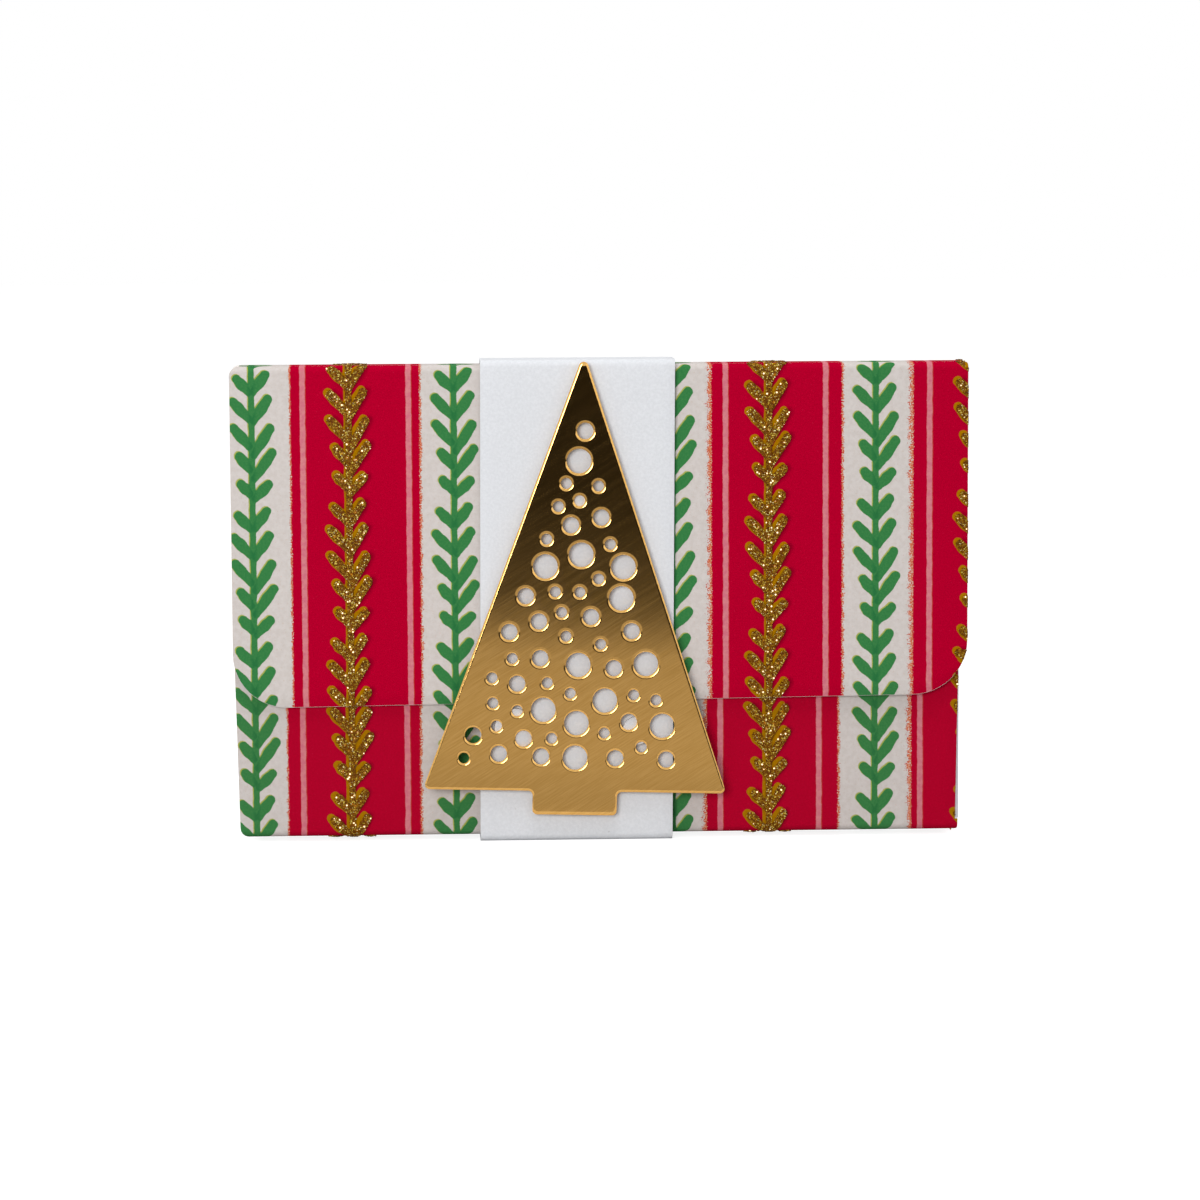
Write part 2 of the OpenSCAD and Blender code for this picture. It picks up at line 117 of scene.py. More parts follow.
# The left and right edges of the red bands and the middles of the pink lines, in millimetres, on
# the flap and the back, and on the pocket, which was cut from another place of the pattern
FLAP_REDS = [(-45.15, -26.4), (-16.0, 3.9), (16.25, 35.4), (45.9, 66.0)]
POCKET_REDS = [(-46.1, -26.7), (-16.3, 3.5), (15.5, 34.9), (45.8, 66.0)]
FLAP_PINKS = [-43.4, -28.0, -13.4, 1.9, 18.3, 33.0, 48.3]
POCKET_PINKS = [-43.9, -28.6, -13.8, 1.6, 17.5, 32.1, 47.1]


# Node trees


class Wiring:
    """Adds nodes to a tree. Every value may be a number, a colour or another node's output."""

    def __init__(self, tree):
        self.tree = tree

    def add(self, kind, inputs=(), **settings):
        node = self.tree.nodes.new(kind)
        for name, value in settings.items():
            setattr(node, name, value)
        for key, value in dict(inputs).items():
            self.feed(node.inputs[key], value)
        return node

    def feed(self, socket, value):
        if isinstance(value, bpy.types.NodeSocket):
            self.tree.links.new(value, socket)
        else:
            socket.default_value = value

    def math(self, operation, *values):
        node = self.add("ShaderNodeMath", enumerate(values), operation=operation)
        return node.outputs[0]

    def least(self, values, operation="MINIMUM"):
        found = values[0]
        for value in values[1:]:
            found = self.math(operation, found, value)
        return found

    def most(self, values):
        return self.least(values, "MAXIMUM")

    def either(self, share, first, second):
        """A number that goes from first at share 0 to second at share 1."""
        return self.math("MULTIPLY_ADD", share, second - first, first)

    def vector(self, operation, *values):
        node = self.add("ShaderNodeVectorMath", enumerate(values), operation=operation)
        return node.outputs[1 if operation in ("DOT_PRODUCT", "DISTANCE", "LENGTH") else 0]

    def scaled(self, vector, factor):
        node = self.add("ShaderNodeVectorMath", {0: vector, 3: factor}, operation="SCALE")
        return node.outputs[0]

    def split(self, vector):
        return self.add("ShaderNodeSeparateXYZ", {0: vector}).outputs

    def join(self, x, y, z=0.0):
        return self.add("ShaderNodeCombineXYZ", {0: x, 1: y, 2: z}).outputs[0]

    def ramp(self, value, low, high, out_low=0.0, out_high=1.0):
        """A smooth step from out_low at low to out_high at high."""
        inputs = {0: value, 1: low, 2: high, 3: out_low, 4: out_high}
        node = self.add("ShaderNodeMapRange", inputs, interpolation_type="SMOOTHSTEP")
        return node.outputs[0]

    def ramp_line(self, value, low, high, out_low=0.0, out_high=1.0):
        """A straight line from out_low at low to out_high at high, which runs on past both."""
        node = self.add("ShaderNodeMapRange", {0: value, 1: low, 2: high, 3: out_low, 4: out_high})
        node.clamp = False
        return node.outputs[0]

    def noise(self, vector, scale, detail=2.0, roughness=0.5, output=0):
        inputs = {"Vector": vector, "Scale": scale, "Detail": detail, "Roughness": roughness}
        return self.add("ShaderNodeTexNoise", inputs).outputs[output]

    def mix(self, share, first, second):
        inputs = {0: share, 6: first, 7: second}
        return self.add("ShaderNodeMix", inputs, data_type="RGBA").outputs[2]

    def group(self, tree, *values):
        node = self.add("ShaderNodeGroup", (), node_tree=tree)
        for socket, value in zip(node.inputs, values):
            self.feed(socket, value)
        return node.outputs


def colour(hex_code):
    """A colour as it is seen on screen, as the linear value that a shader takes."""
    parts = [int(hex_code[k : k + 2], 16) / 255 for k in (0, 2, 4)]
    linear = [p / 12.92 if p <= 0.04045 else ((p + 0.055) / 1.055) ** 2.4 for p in parts]
    return (*linear, 1.0)


def node_group(name, kind, inputs, outputs):
    """An empty group with named sockets, and its wiring, its input values and its output node."""
    tree = bpy.data.node_groups.new(name, kind)
    for label, socket in inputs:
        tree.interface.new_socket(label, in_out="INPUT", socket_type="NodeSocket" + socket)
    for label, socket in outputs:
        tree.interface.new_socket(label, in_out="OUTPUT", socket_type="NodeSocket" + socket)
    wiring = Wiring(tree)
    given = {s.name: s for s in wiring.add("NodeGroupInput").outputs}
    return tree, wiring, given, wiring.add("NodeGroupOutput")


def material(name):
    """A new material, its wiring and its main shader."""
    made = bpy.data.materials.new(name)
    made.use_nodes = True
    wiring = Wiring(made.node_tree)
    return made, wiring, made.node_tree.nodes["Principled BSDF"]


def bump(wiring, height, depth, shader, strength):
    inputs = {"Height": height, "Distance": depth, "Strength": strength}
    wiring.feed(shader.inputs["Normal"], wiring.add("ShaderNodeBump", inputs).outputs[0])


def object_place(wiring):
    """The place on the piece, in millimetres."""
    place = wiring.add("ShaderNodeTexCoord").outputs["Object"]
    return wiring.scaled(place, 1000.0)


# Meshes


def new_piece(name, mesh):
    piece = bpy.data.objects.new(name, mesh)
    bpy.context.scene.collection.objects.link(piece)
    return piece


def settle(piece):
    """Turns a piece's modifiers into plain mesh."""
    depsgraph = bpy.context.evaluated_depsgraph_get()
    made = bpy.data.meshes.new_from_object(
        piece.evaluated_get(depsgraph), preserve_all_data_layers=True, depsgraph=depsgraph
    )
    piece.modifiers.clear()
    piece.data = made


def grow(piece, tree, values):
    """Puts a piece through a node tree, with values for the tree's named inputs."""
    sockets = {s.name: s.identifier for s in tree.interface.items_tree if s.in_out == "INPUT"}
    nodes = piece.modifiers.new(tree.name, "NODES")
    nodes.node_group = tree
    for name, value in values.items():
        nodes[sockets[name]] = value
    settle(piece)


def shade(piece, sharp_degrees):
    piece.data.shade_smooth()
    piece.data.set_sharp_from_angle(angle=math.radians(sharp_degrees))


def bent_path(corners, radius, steps=7):
    """A line through corners, each rounded by the same radius, as lengths along it and points."""
    points = [Vector(corners[0])]
    for before, corner, after in zip(corners, corners[1:], corners[2:]):
        corner = Vector(corner)
        into = (corner - Vector(before)).normalized()
        out = (Vector(after) - corner).normalized()
        centre = corner + (out - into) * radius
        for k in range(steps + 1):
            angle = math.pi / 2 * k / steps
            points.append(centre - out * radius * math.cos(angle) + into * radius * math.sin(angle))
    points.append(Vector(corners[-1]))
    points = np.array(points)
    lengths = np.concatenate([[0], np.cumsum(np.linalg.norm(np.diff(points, axis=0), axis=1))])
    return lengths, points


def rows_along(lengths, step):
    """The path's own points, with the long stretches between them divided into steps."""
    rows = []
    for start, end in zip(lengths, lengths[1:]):
        count = max(1, math.ceil((end - start) / step))
        rows += [start + (end - start) * k / count for k in range(count)]
    return rows + [lengths[-1]]


def sheet_piece(name, grid, thickness, edge, materials, prints=None):
    """A sheet of even thickness behind a grid of points on its outer face, with its cut edges
    eased. The grid holds rows of points, and prints the place of each point on the flat print."""
    grid = np.array(grid)
    rows, columns = grid.shape[:2]
    faces = [
        (k * columns + j, k * columns + j + 1, (k + 1) * columns + j + 1, (k + 1) * columns + j)
        for k in range(rows - 1)
        for j in range(columns - 1)
    ]
    mesh = bpy.data.meshes.new(name)
    mesh.from_pydata(grid.reshape(-1, 3).tolist(), [], faces)
    for item in materials:
        mesh.materials.append(item)
    if prints is not None:
        place = mesh.attributes.new("print_place", "FLOAT_VECTOR", "POINT")
        place.data.foreach_set("vector", np.array(prints, np.float32).ravel())
    piece = new_piece(name, mesh)
    solid = piece.modifiers.new("thickness", "SOLIDIFY")
    solid.thickness = thickness
    solid.offset = -1
    solid.use_even_offset = True
    solid.material_offset = len(materials) - 1
    solid.material_offset_rim = min(1, len(materials) - 1)
    eased = piece.modifiers.new("eased edges", "BEVEL")
    eased.width = edge
    eased.segments = 2
    eased.limit_method = "ANGLE"
    eased.angle_limit = math.radians(60)
    eased.material = min(1, len(materials) - 1)
    settle(piece)
    shade(piece, 50)
    return piece


def smooth_step(value, low, high):
    share = min(1.0, max(0.0, (value - low) / (high - low)))
    return share * share * (3 - 2 * share)


# The print


def leaf_group():
    """How far a place on the print lies outside one leaf, which has round ends."""
    tree, w, given, result = node_group(
        "leaf_distance",
        "ShaderNodeTree",
        [("Across", "Float"), ("Along", "Float"), ("Start", "Vector"), ("Way", "Vector")],
        [("Distance", "Float")],
    )
    start = w.split(given["Start"])
    across = w.math("SUBTRACT", given["Across"], start[0])
    above = w.math("ADD", w.math("SUBTRACT", given["Along"], start[1]), LEAF_MARGIN)
    along = w.math("SUBTRACT", w.math("WRAP", above, CYCLE, 0.0), LEAF_MARGIN)
    place = w.join(across, along)
    square = w.vector("DOT_PRODUCT", given["Way"], given["Way"])
    share = w.math("DIVIDE", w.vector("DOT_PRODUCT", place, given["Way"]), square)
    share.node.use_clamp = True
    nearest = w.scaled(given["Way"], share)
    swell = w.ramp(share, 0.0, 0.6, 0.56, 0.82)
    radius = w.math("SUBTRACT", swell, w.ramp(share, 0.6, 1.0, 0.0, 0.12))
    distance = w.math("SUBTRACT", w.vector("DISTANCE", place, nearest), radius)
    w.feed(result.inputs[0], distance)
    return tree


def garland_group():
    """How far a place lies outside a garland's leaves and outside its stem."""
    tree, w, given, result = node_group(
        "garland_distance",
        "ShaderNodeTree",
        [("Across", "Float"), ("Along", "Float")],
        [("Leaves", "Float"), ("Stem", "Float")],
    )
    leaf = leaf_group()
    mirrored = w.math("MULTIPLY", given["Across"], -1.0)
    found = []
    for across, leaves, drop in (
        (mirrored, LEFT_LEAVES, 0.0),
        (given["Across"], RIGHT_LEAVES, RIGHT_DROP),
    ):
        root = -drop
        for k, (step, reach, rise) in enumerate(leaves):
            root -= step if k else 0.0
            way = Vector((reach, rise, 0)).normalized()
            start = way * LEAF_START + Vector((0, root, 0))
            end = Vector((reach, rise + root, 0)) - way * LEAF_R
            found.append(w.group(leaf, across, given["Along"], start, end - start)[0])
    w.feed(result.inputs[0], w.least(found))
    from_stem = w.math("ABSOLUTE", given["Across"])
    w.feed(result.inputs[1], w.math("SUBTRACT", from_stem, INK_STEM_R))
    return tree


def stem_map(w, across):
    """The nearest stem's place and whether it is gold, from a place across the card."""
    reach = 60.0
    stems = sorted([(x, 1.0) for x in GOLD_STEMS] + [(x, 0.0) for x in GREEN_STEMS])
    node = w.add("ShaderNodeValToRGB", {0: w.ramp_line(across, -reach, reach)})
    ramp = node.color_ramp
    ramp.interpolation = "CONSTANT"
    starts = [0.0] + [(a[0] + b[0]) / 2 for a, b in zip(stems, stems[1:])]
    for _ in stems[2:]:
        ramp.elements.new(1.0)
    for element, start, (x, is_gold) in zip(ramp.elements, starts, stems):
        element.position = 0.0 if start == 0.0 else (start + reach) / (2 * reach)
        element.color = ((x + reach) / (2 * reach), is_gold, 0.0, 1.0)
    parts = w.add("ShaderNodeSeparateColor", {0: node.outputs[0]}).outputs
    return w.ramp_line(parts[0], 0.0, 1.0, -reach, reach), parts[1]


def unsteady_place(w, flat):
    """A place on the print, shifted a little by the hand that painted it and by the card's grain."""
    middle = (0.5, 0.5, 0.5)
    wobble = w.noise(flat, 0.7, 1.0, output=1)
    fray = w.noise(flat, 5.5, 1.0, output=1)
    shift = w.scaled(w.vector("SUBTRACT", wobble, middle), 0.22)
    rough = w.scaled(w.vector("SUBTRACT", fray, middle), 0.10)
    return w.split(w.vector("ADD", w.vector("ADD", flat, shift), rough))


def garland_print(w, x, across, along, on_pocket):
    """Whether the nearest garland is gold, and the shares of its ink, of the overlaps in it and of
    its second plate, sharp and soft. The gold print lies to the left of its glitter."""
    stem, is_gold = stem_map(w, x)
    on_flap = w.math("SUBTRACT", 1.0, on_pocket)
    print_left = w.math("MULTIPLY", is_gold, w.ramp_line(on_pocket, 0.0, 1.0, 0.3, 0.5))
    from_stem = w.math("ADD", w.math("SUBTRACT", across, stem), print_left)
    stretch = w.math("MAXIMUM", w.math("MULTIPLY", from_stem, 1 / RIGHT_SHARE - 1), 0.0)
    from_stem = w.math("MULTIPLY_ADD", stretch, is_gold, from_stem)
    rise = w.math("MULTIPLY", w.math("SUBTRACT", stem, GOLD_MIDDLE), FLAP_RISE / GOLD_PITCH)
    up = w.math("SUBTRACT", along, w.math("MULTIPLY", rise, on_flap))
    up = w.math("ADD", up, w.ramp_line(is_gold, 0.0, 1.0, GREEN_DROP, -0.25))
    garland = garland_group()
    leaves, stalk = w.group(garland, from_stem, up)
    ink = w.ramp(w.math("SMOOTH_MIN", leaves, stalk, 0.5), -0.05, 0.05, 1, 0)
    overlap = w.math("MULTIPLY", w.ramp(leaves, -0.15, 0.1, 1, 0), w.ramp(stalk, -0.3, 0.3, 1, 0))

    # The second plate: the yellow one of the green print lies up to the left, and the shade of the
    # gold print lies to the right
    plate_across = w.math("ADD", from_stem, w.ramp_line(is_gold, 0.0, 1.0, 0.15, -0.85))
    plate_up = w.math("ADD", up, w.ramp_line(is_gold, 0.0, 1.0, -0.12, 0.15))
    plate_leaves, plate_stalk = w.group(garland, plate_across, plate_up)
    plate = w.math("MINIMUM", plate_leaves, plate_stalk)
    return is_gold, ink, overlap, w.ramp(plate, -0.05, 0.06, 1, 0), w.ramp(plate, -0.45, 0.4, 1, 0)


def red_stripes(w, across, brush, on_pocket, dry_edge):
    """The share of the wide red stripes, and how near a place lies to their edges, which are rough
    as if painted with a dry brush, most at the left."""
    depths, fringes = [], []
    for k, (flap_red, pocket_red) in enumerate(zip(FLAP_REDS, POCKET_REDS)):
        left = w.math("SUBTRACT", across, w.either(on_pocket, flap_red[0], pocket_red[0]))
        right = w.math("SUBTRACT", w.either(on_pocket, flap_red[1], pocket_red[1]), across)
        depths.append(w.math("MINIMUM", left, right))
        dry_left = dry_edge * (0.35 if k == 0 else 1.0)
        dry_right = dry_edge * 0.5
        near_left = w.math("MULTIPLY_ADD", left, 1 / dry_left, 1.0)
        near_right = w.math("MULTIPLY_ADD", right, 1 / dry_right, 1.0)
        fringes.append(w.math("MINIMUM", near_left, near_right))
    depth = w.most(depths)
    depth = w.math("MULTIPLY_ADD", w.math("SUBTRACT", brush, 0.5), 0.7, depth)
    return w.ramp(depth, -0.07, 0.07), w.most([0.0] + fringes)


def pink_lines(w, across, on_pocket):
    """The shares of the narrow pink lines and of their darker right edges."""
    lines = [
        w.math("SUBTRACT", across, w.either(on_pocket, flap_pink, pocket_pink))
        for flap_pink, pocket_pink in zip(FLAP_PINKS, POCKET_PINKS)
    ]
    middle = w.least([w.math("ABSOLUTE", line) for line in lines])
    edge = w.least([w.math("ABSOLUTE", w.math("SUBTRACT", line, 0.42)) for line in lines])
    return w.ramp(middle, 0.34, 0.45, 1, 0), w.ramp(edge, 0.03, 0.14, 0.4, 0)


def printed_material(inks):
    """The striped print with its leaf garlands, laid out on the flat sheet in millimetres. The third
    part of a place on the print is 0 on the flap and the back, and 1 on the pocket, whose print is
    darkened a little as painted shade."""
    made, w, shader = material("printed_card")
    place = w.add("ShaderNodeAttribute", attribute_name="print_place").outputs["Vector"]
    x, y, on_pocket = w.split(place)
    flat = w.join(x, y)
    across, along, _ = unsteady_place(w, flat)
    brush = w.noise(flat, 5.2, 2.0, 0.6)
    is_gold, ink, overlap, plate, soft_plate = garland_print(w, x, across, along, on_pocket)
    red_share, fringe = red_stripes(w, across, brush, on_pocket, inks.dry_edge)
    pink_share, pink_edge = pink_lines(w, across, on_pocket)
    clumps = w.noise(flat, 0.9, 2.0, 0.6)
    reach = w.math("ADD", fringe, w.ramp(clumps, 0.3, 0.7, -0.25, 0.2))
    specks = w.ramp(w.math("ADD", brush, w.ramp(reach, 0.0, 1.0, -0.25, 0.14)), 0.48, 0.55)
    strays = w.math("MULTIPLY", w.ramp(w.noise(flat, 2.9, 1.0), 0.73, 0.77), 0.3)

    # The inks, each mottled by the grain of the card
    grain = w.noise(flat, 3.4, 3.0, 0.65)
    mottle = w.noise(flat, 1.3, 2.0, 0.6)
    soft = w.ramp(mottle, 0.3, 0.7)
    fine = w.ramp(grain, 0.3, 0.7)
    cream = w.mix(soft, inks.cream, inks.cream_tint)
    cream = w.mix(w.ramp(w.noise(flat, 3.1, 1.0), 0.62, 0.72, 0.0, 0.5), cream, colour("C9B9AC"))
    red = w.mix(fine, inks.red, inks.red_tint)
    red = w.mix(w.ramp(w.noise(flat, 4.1, 1.0), 0.68, 0.76, 0.0, 0.3), red, colour("C83050"))
    pink = w.mix(soft, inks.pink, inks.pink_tint)
    green = w.mix(fine, inks.green_tint, inks.green)
    green = w.mix(w.math("MULTIPLY", overlap, 0.7), green, inks.green_deep)
    ochre = w.mix(fine, inks.ochre, inks.ochre_tint)
    rust = w.mix(w.ramp(brush, 0.5, 0.6), colour("D6845C"), colour("BC4034"))
    yellow_share = w.math("MULTIPLY", plate, w.math("SUBTRACT", 1.0, is_gold))
    shade_share = w.math("MULTIPLY", w.math("MULTIPLY", soft_plate, is_gold), 0.5)

    # The layers of paint, from the lowest up
    paint = cream
    for share, layer in (
        (w.math("MULTIPLY", strays, w.ramp(reach, -2.0, 0.0)), colour("D59A80")),
        (specks, rust),
        (red_share, red),
        (pink_edge, colour("C4603C")),
        (pink_share, pink),
        (yellow_share, colour("A9AE55")),
        (shade_share, colour("5E0016")),
        (ink, w.mix(is_gold, green, ochre)),
        # Painted shade: the pocket's print is darkened by a share towards dark brown, as the pocket
        # lies lower and gets less light
        (w.math("MULTIPLY", on_pocket, 0.07), colour("4A2A20")),
    ):
        paint = w.mix(share, paint, layer)
    w.feed(shader.inputs["Base Color"], paint)
    w.feed(shader.inputs["Roughness"], w.ramp(grain, 0.2, 0.8, 0.52, 0.66))
    shader.inputs["Specular IOR Level"].default_value = 0.0
    bump(w, w.noise(flat, 2.6, 4.0, 0.65), 0.00003, shader, 0.35)
    return made


def paper_material(name, light, dark, fibre=2.4):
    """Uncoated white paper or card, with fibres and a few darker specks."""
    made, w, shader = material(name)
    place = object_place(w)
    fibres = w.noise(place, fibre, 4.0, 0.65)
    cloud = w.noise(place, 0.12, 2.0)
    base = w.mix(w.ramp(fibres, 0.3, 0.75), colour(dark), colour(light))
    base = w.mix(w.ramp(cloud, 0.3, 0.7, 0.0, 0.12), base, colour(dark))
    cells = w.add("ShaderNodeTexVoronoi", {"Vector": place, "Scale": 0.28})
    dots = w.ramp(cells.outputs["Distance"], 0.02, 0.05, 0.35, 0)
    base = w.mix(dots, base, colour("8F8A84"))
    w.feed(shader.inputs["Base Color"], base)
    w.feed(shader.inputs["Roughness"], w.ramp(fibres, 0.2, 0.8, 0.6, 0.75))
    shader.inputs["Specular IOR Level"].default_value = 0.25
    bump(w, fibres, 0.00003, shader, 0.4)
    return made


def tape_material():
    """Clear double-sided tape with a faint yellow cast and small air bubbles."""
    made, w, shader = material("double_sided_tape")
    place = object_place(w)
    bubbles = w.add("ShaderNodeTexVoronoi", {"Vector": place, "Scale": 1.3}).outputs["Distance"]
    haze = w.noise(place, 0.8, 3.0)
    base = w.mix(w.ramp(haze, 0.35, 0.7), colour("E9E4D2"), colour("D9D2BA"))
    w.feed(shader.inputs["Base Color"], base)
    w.feed(shader.inputs["Roughness"], w.ramp(bubbles, 0.05, 0.3, 0.5, 0.28))
    bump(w, bubbles, 0.00002, shader, 0.3)
    return made


def foam_material():
    """White foam with open cells and a film of adhesive on its faces, given a grey tone as painted
    shade, like the band in the tree's shade.
    """
    made, w, shader = material("adhesive_foam")
    place = object_place(w)
    cells = w.add("ShaderNodeTexVoronoi", {"Vector": place, "Scale": 5.0}).outputs["Distance"]
    # Painted shade: greyer than white foam, to match the band as it looks in the tree's shade
    # through the holes
    base = w.mix(w.ramp(cells, 0.1, 0.6), colour("CBCCCF"), colour("D5D6D9"))
    w.feed(shader.inputs["Base Color"], base)
    shader.inputs["Roughness"].default_value = 0.8
    bump(w, cells, 0.00004, shader, 0.4)
    return made


# The folded card


def worn_back(z, radius):
    """How far a corner worn to a radius stands back from the sheet's side at a level."""
    depth = min(radius, max(0.0, min(TOP_Z - z, z - FOOT_Z)))
    return radius - math.sqrt(radius**2 - (radius - depth) ** 2)


def flap_bow(x, z):
    """How far the flap stands forward, most at its lower right corner."""
    lift = 0.24 * MM * smooth_step(x, 12 * MM, HALF_W)
    lift += 0.06 * MM * smooth_step(-x, 20 * MM, HALF_W)
    return lift * smooth_step(-z, -56 * MM, -FLAP_FOOT_Z)


def flap_edge(card, x):
    """The level of the flap's lower edge."""
    base = FLAP_FOOT_Z + card.flap_lift + card.flap_slant * (x + HALF_W) / (2 * HALF_W)
    radius = card.flap_corner
    past = max(0.0, abs(x) - HALF_W + radius)
    return base + radius - math.sqrt(max(0.0, radius**2 - past**2))


def pocket_bow(x, z):
    """How far the pocket panel gives way inwards behind the flap's right corner."""
    give = smooth_step(x, 15 * MM, 46 * MM) * (1 - smooth_step(x, 48 * MM, HALF_W) * 0.5)
    return 0.32 * MM * give * smooth_step(z, 8 * MM, 20 * MM)


def level_steps(low, high, radii):
    """Levels between two, close together where the corners of the sheet are worn round."""
    count = math.ceil((high - low) / (2.5 * MM))
    levels = {low + (high - low) * k / count for k in range(count + 1)}
    for radius in radii:
        for k in range(7):
            depth = radius * (1 - math.cos(math.pi / 2 * k / 6))
            levels |= {level for level in (TOP_Z - depth, FOOT_Z + depth) if low < level < high}
    return sorted(levels)


def flap_grid(card):
    """Points on the flap's outer face, from its lower edge up and over its half of the crease."""
    radius = card.flap_corner
    flat_top = TOP_Z - CREASE_R
    arc = [math.pi / 2 * k / 12 for k in range(13)]
    inner = HALF_W - radius
    corner = [inner + radius * math.sin(a) for a in arc]
    middle = [-inner + 2 * inner * k / 44 for k in range(1, 44)]
    columns = sorted([-x for x in corner] + middle + corner)
    grid, prints = [], []

    def add_row(places, y):
        left = worn_back(places[0][1], card.left_wear)
        right = worn_back(places[-1][1], card.right_wear)
        row = []
        for x, z in places:
            x += left * (1 - x / HALF_W) / 2 - right * (1 + x / HALF_W) / 2
            row.append((x, y - flap_bow(x, z), z))
        grid.append(row)
        prints.append([(x / MM, (y - FLAP_Y - TOP_Z + z) / MM + FLAP_PHASE, 0) for x, _, z in row])

    bend_start = TOP_Z - card.left_wear
    for k in range(25):
        low = [flap_edge(card, x) for x in columns]
        add_row([(x, z + (bend_start - z) * k / 24) for x, z in zip(columns, low)], FLAP_Y)
    for z in level_steps(bend_start, flat_top, (card.left_wear,))[1:]:
        add_row([(x, z) for x in columns], FLAP_Y)
    for k in range(1, 11):
        angle = math.pi / 2 * k / 10
        z = flat_top + CREASE_R * math.sin(angle)
        add_row([(x, z) for x in columns], FLAP_Y + CREASE_R * (1 - math.cos(angle)))
    return grid, prints


def sleeve_rows(card, lengths, back_start):
    """Lengths along the sheet at which its grid has a row: close together at the round corners of
    the pocket's mouth and where the sheet is worn, and in pairs where its sides step in or out."""
    back_zero = back_start - FOOT_Z - CREASE_R
    rows = [MOUTH_CORNER * (1 - math.cos(a)) for a in np.linspace(0, math.pi / 2, 6)]
    for level in (GUSSET_Z0, GUSSET_Z1):
        rows += [back_zero + level - TIGHT, back_zero + level]
    rows += [MOUTH_Z - GUSSET_Z0 - TIGHT, MOUTH_Z - GUSSET_Z0, back_start - TIGHT]
    for level in level_steps(FOOT_Z + CREASE_R, TOP_Z - CREASE_R, (card.left_wear,)):
        rows.append(back_zero + level)
        if level < MOUTH_Z:
            rows.append(MOUTH_Z - level)
    return sorted(set(rows_along(lengths, 3 * MM)) | set(rows))


def pocket_sides(card, run):
    """The left and right sides of the pocket panel at a length from its mouth."""
    taper = min(1.0, run / (MOUTH_Z - FOOT_Z))
    left, right = POCKET_SIDES
    left += (LOW["bottom_gusset"].x - left) * taper
    right += (HIGH["bottom_gusset"].x - right) * taper
    past = max(0.0, MOUTH_CORNER - run)
    cut = MOUTH_CORNER - math.sqrt(max(0.0, MOUTH_CORNER**2 - past**2))
    flare = card.foot_flare if run > MOUTH_Z - GUSSET_Z0 - TIGHT / 2 else 0.0
    return left + cut, right - cut + flare


def back_side(y, z):
    """How far the sides of the back and of the spine stand from the middle."""
    if z < GUSSET_Z0 - TIGHT / 2:
        return GUSSET_X
    if z < GUSSET_Z1 - TIGHT / 2 and y > BACK_Y - TIGHT:
        return GUSSET_X - CREASE_R
    return HALF_W


def sleeve_grid(card):
    """Points on the outer face of the rest of the sheet, from the pocket's mouth down, under the
    holder, up its back and over the spine to the flap's crease."""
    corners = [
        (POCKET_Y, MOUTH_Z),
        (POCKET_Y, FOOT_Z),
        (BACK_Y, FOOT_Z),
        (BACK_Y, TOP_Z),
        (FLAP_Y + CREASE_R + 0.01 * MM, TOP_Z),
    ]
    lengths, points = bent_path(corners, CREASE_R)
    bend = math.pi / 2 * CREASE_R
    back_start = lengths[-1] - (BACK_Y - FLAP_Y - 2 * CREASE_R) - bend - (
        TOP_Z - FOOT_Z - 2 * CREASE_R
    )
    grid, prints = [], []
    for run in sleeve_rows(card, lengths, back_start):
        y = np.interp(run, lengths, points[:, 0])
        z = np.interp(run, lengths, points[:, 1])
        on_pocket = run < back_start - TIGHT / 2
        if on_pocket:
            left, right = pocket_sides(card, run)
            along = (z - FOOT_Z - y + POCKET_Y) / MM - POCKET_PHASE
        else:
            right = back_side(y, z)
            left = -right
            along = (y - FLAP_Y + TOP_Z - z) / MM + FLAP_PHASE
        left += worn_back(z, card.left_wear)
        right -= worn_back(z, card.right_wear)
        row = []
        for share in np.linspace(0, 1, 55):
            x = left + (right - left) * share
            push = pocket_bow(x, z) if y < POCKET_Y + TIGHT else 0.0
            row.append((x, y + push, z))
        grid.append(row)
        prints.append([(x / MM, along, 1 if on_pocket else 0) for x, _, _ in row])
    return grid, prints


# Glitter


def outside_garland(across, up):
    """How far a place lies outside a garland, in millimetres from its stem and its start."""
    nearest = abs(across) - GLITTER_STEM_R
    for side, leaves, drop in ((-1, LEFT_LEAVES, 0.0), (1, RIGHT_LEAVES, RIGHT_DROP)):
        root = -drop
        for k, (step, reach, rise) in enumerate(leaves):
            root -= step if k else 0.0
            above = (up - root + LEAF_MARGIN) % CYCLE - LEAF_MARGIN
            place = Vector((across * side, above))
            way = Vector((reach, rise))
            share = min(1.0, max(0.0, place.dot(way) / way.dot(way)))
            nearest = min(nearest, (place - way * share).length - LEAF_R)
    return nearest


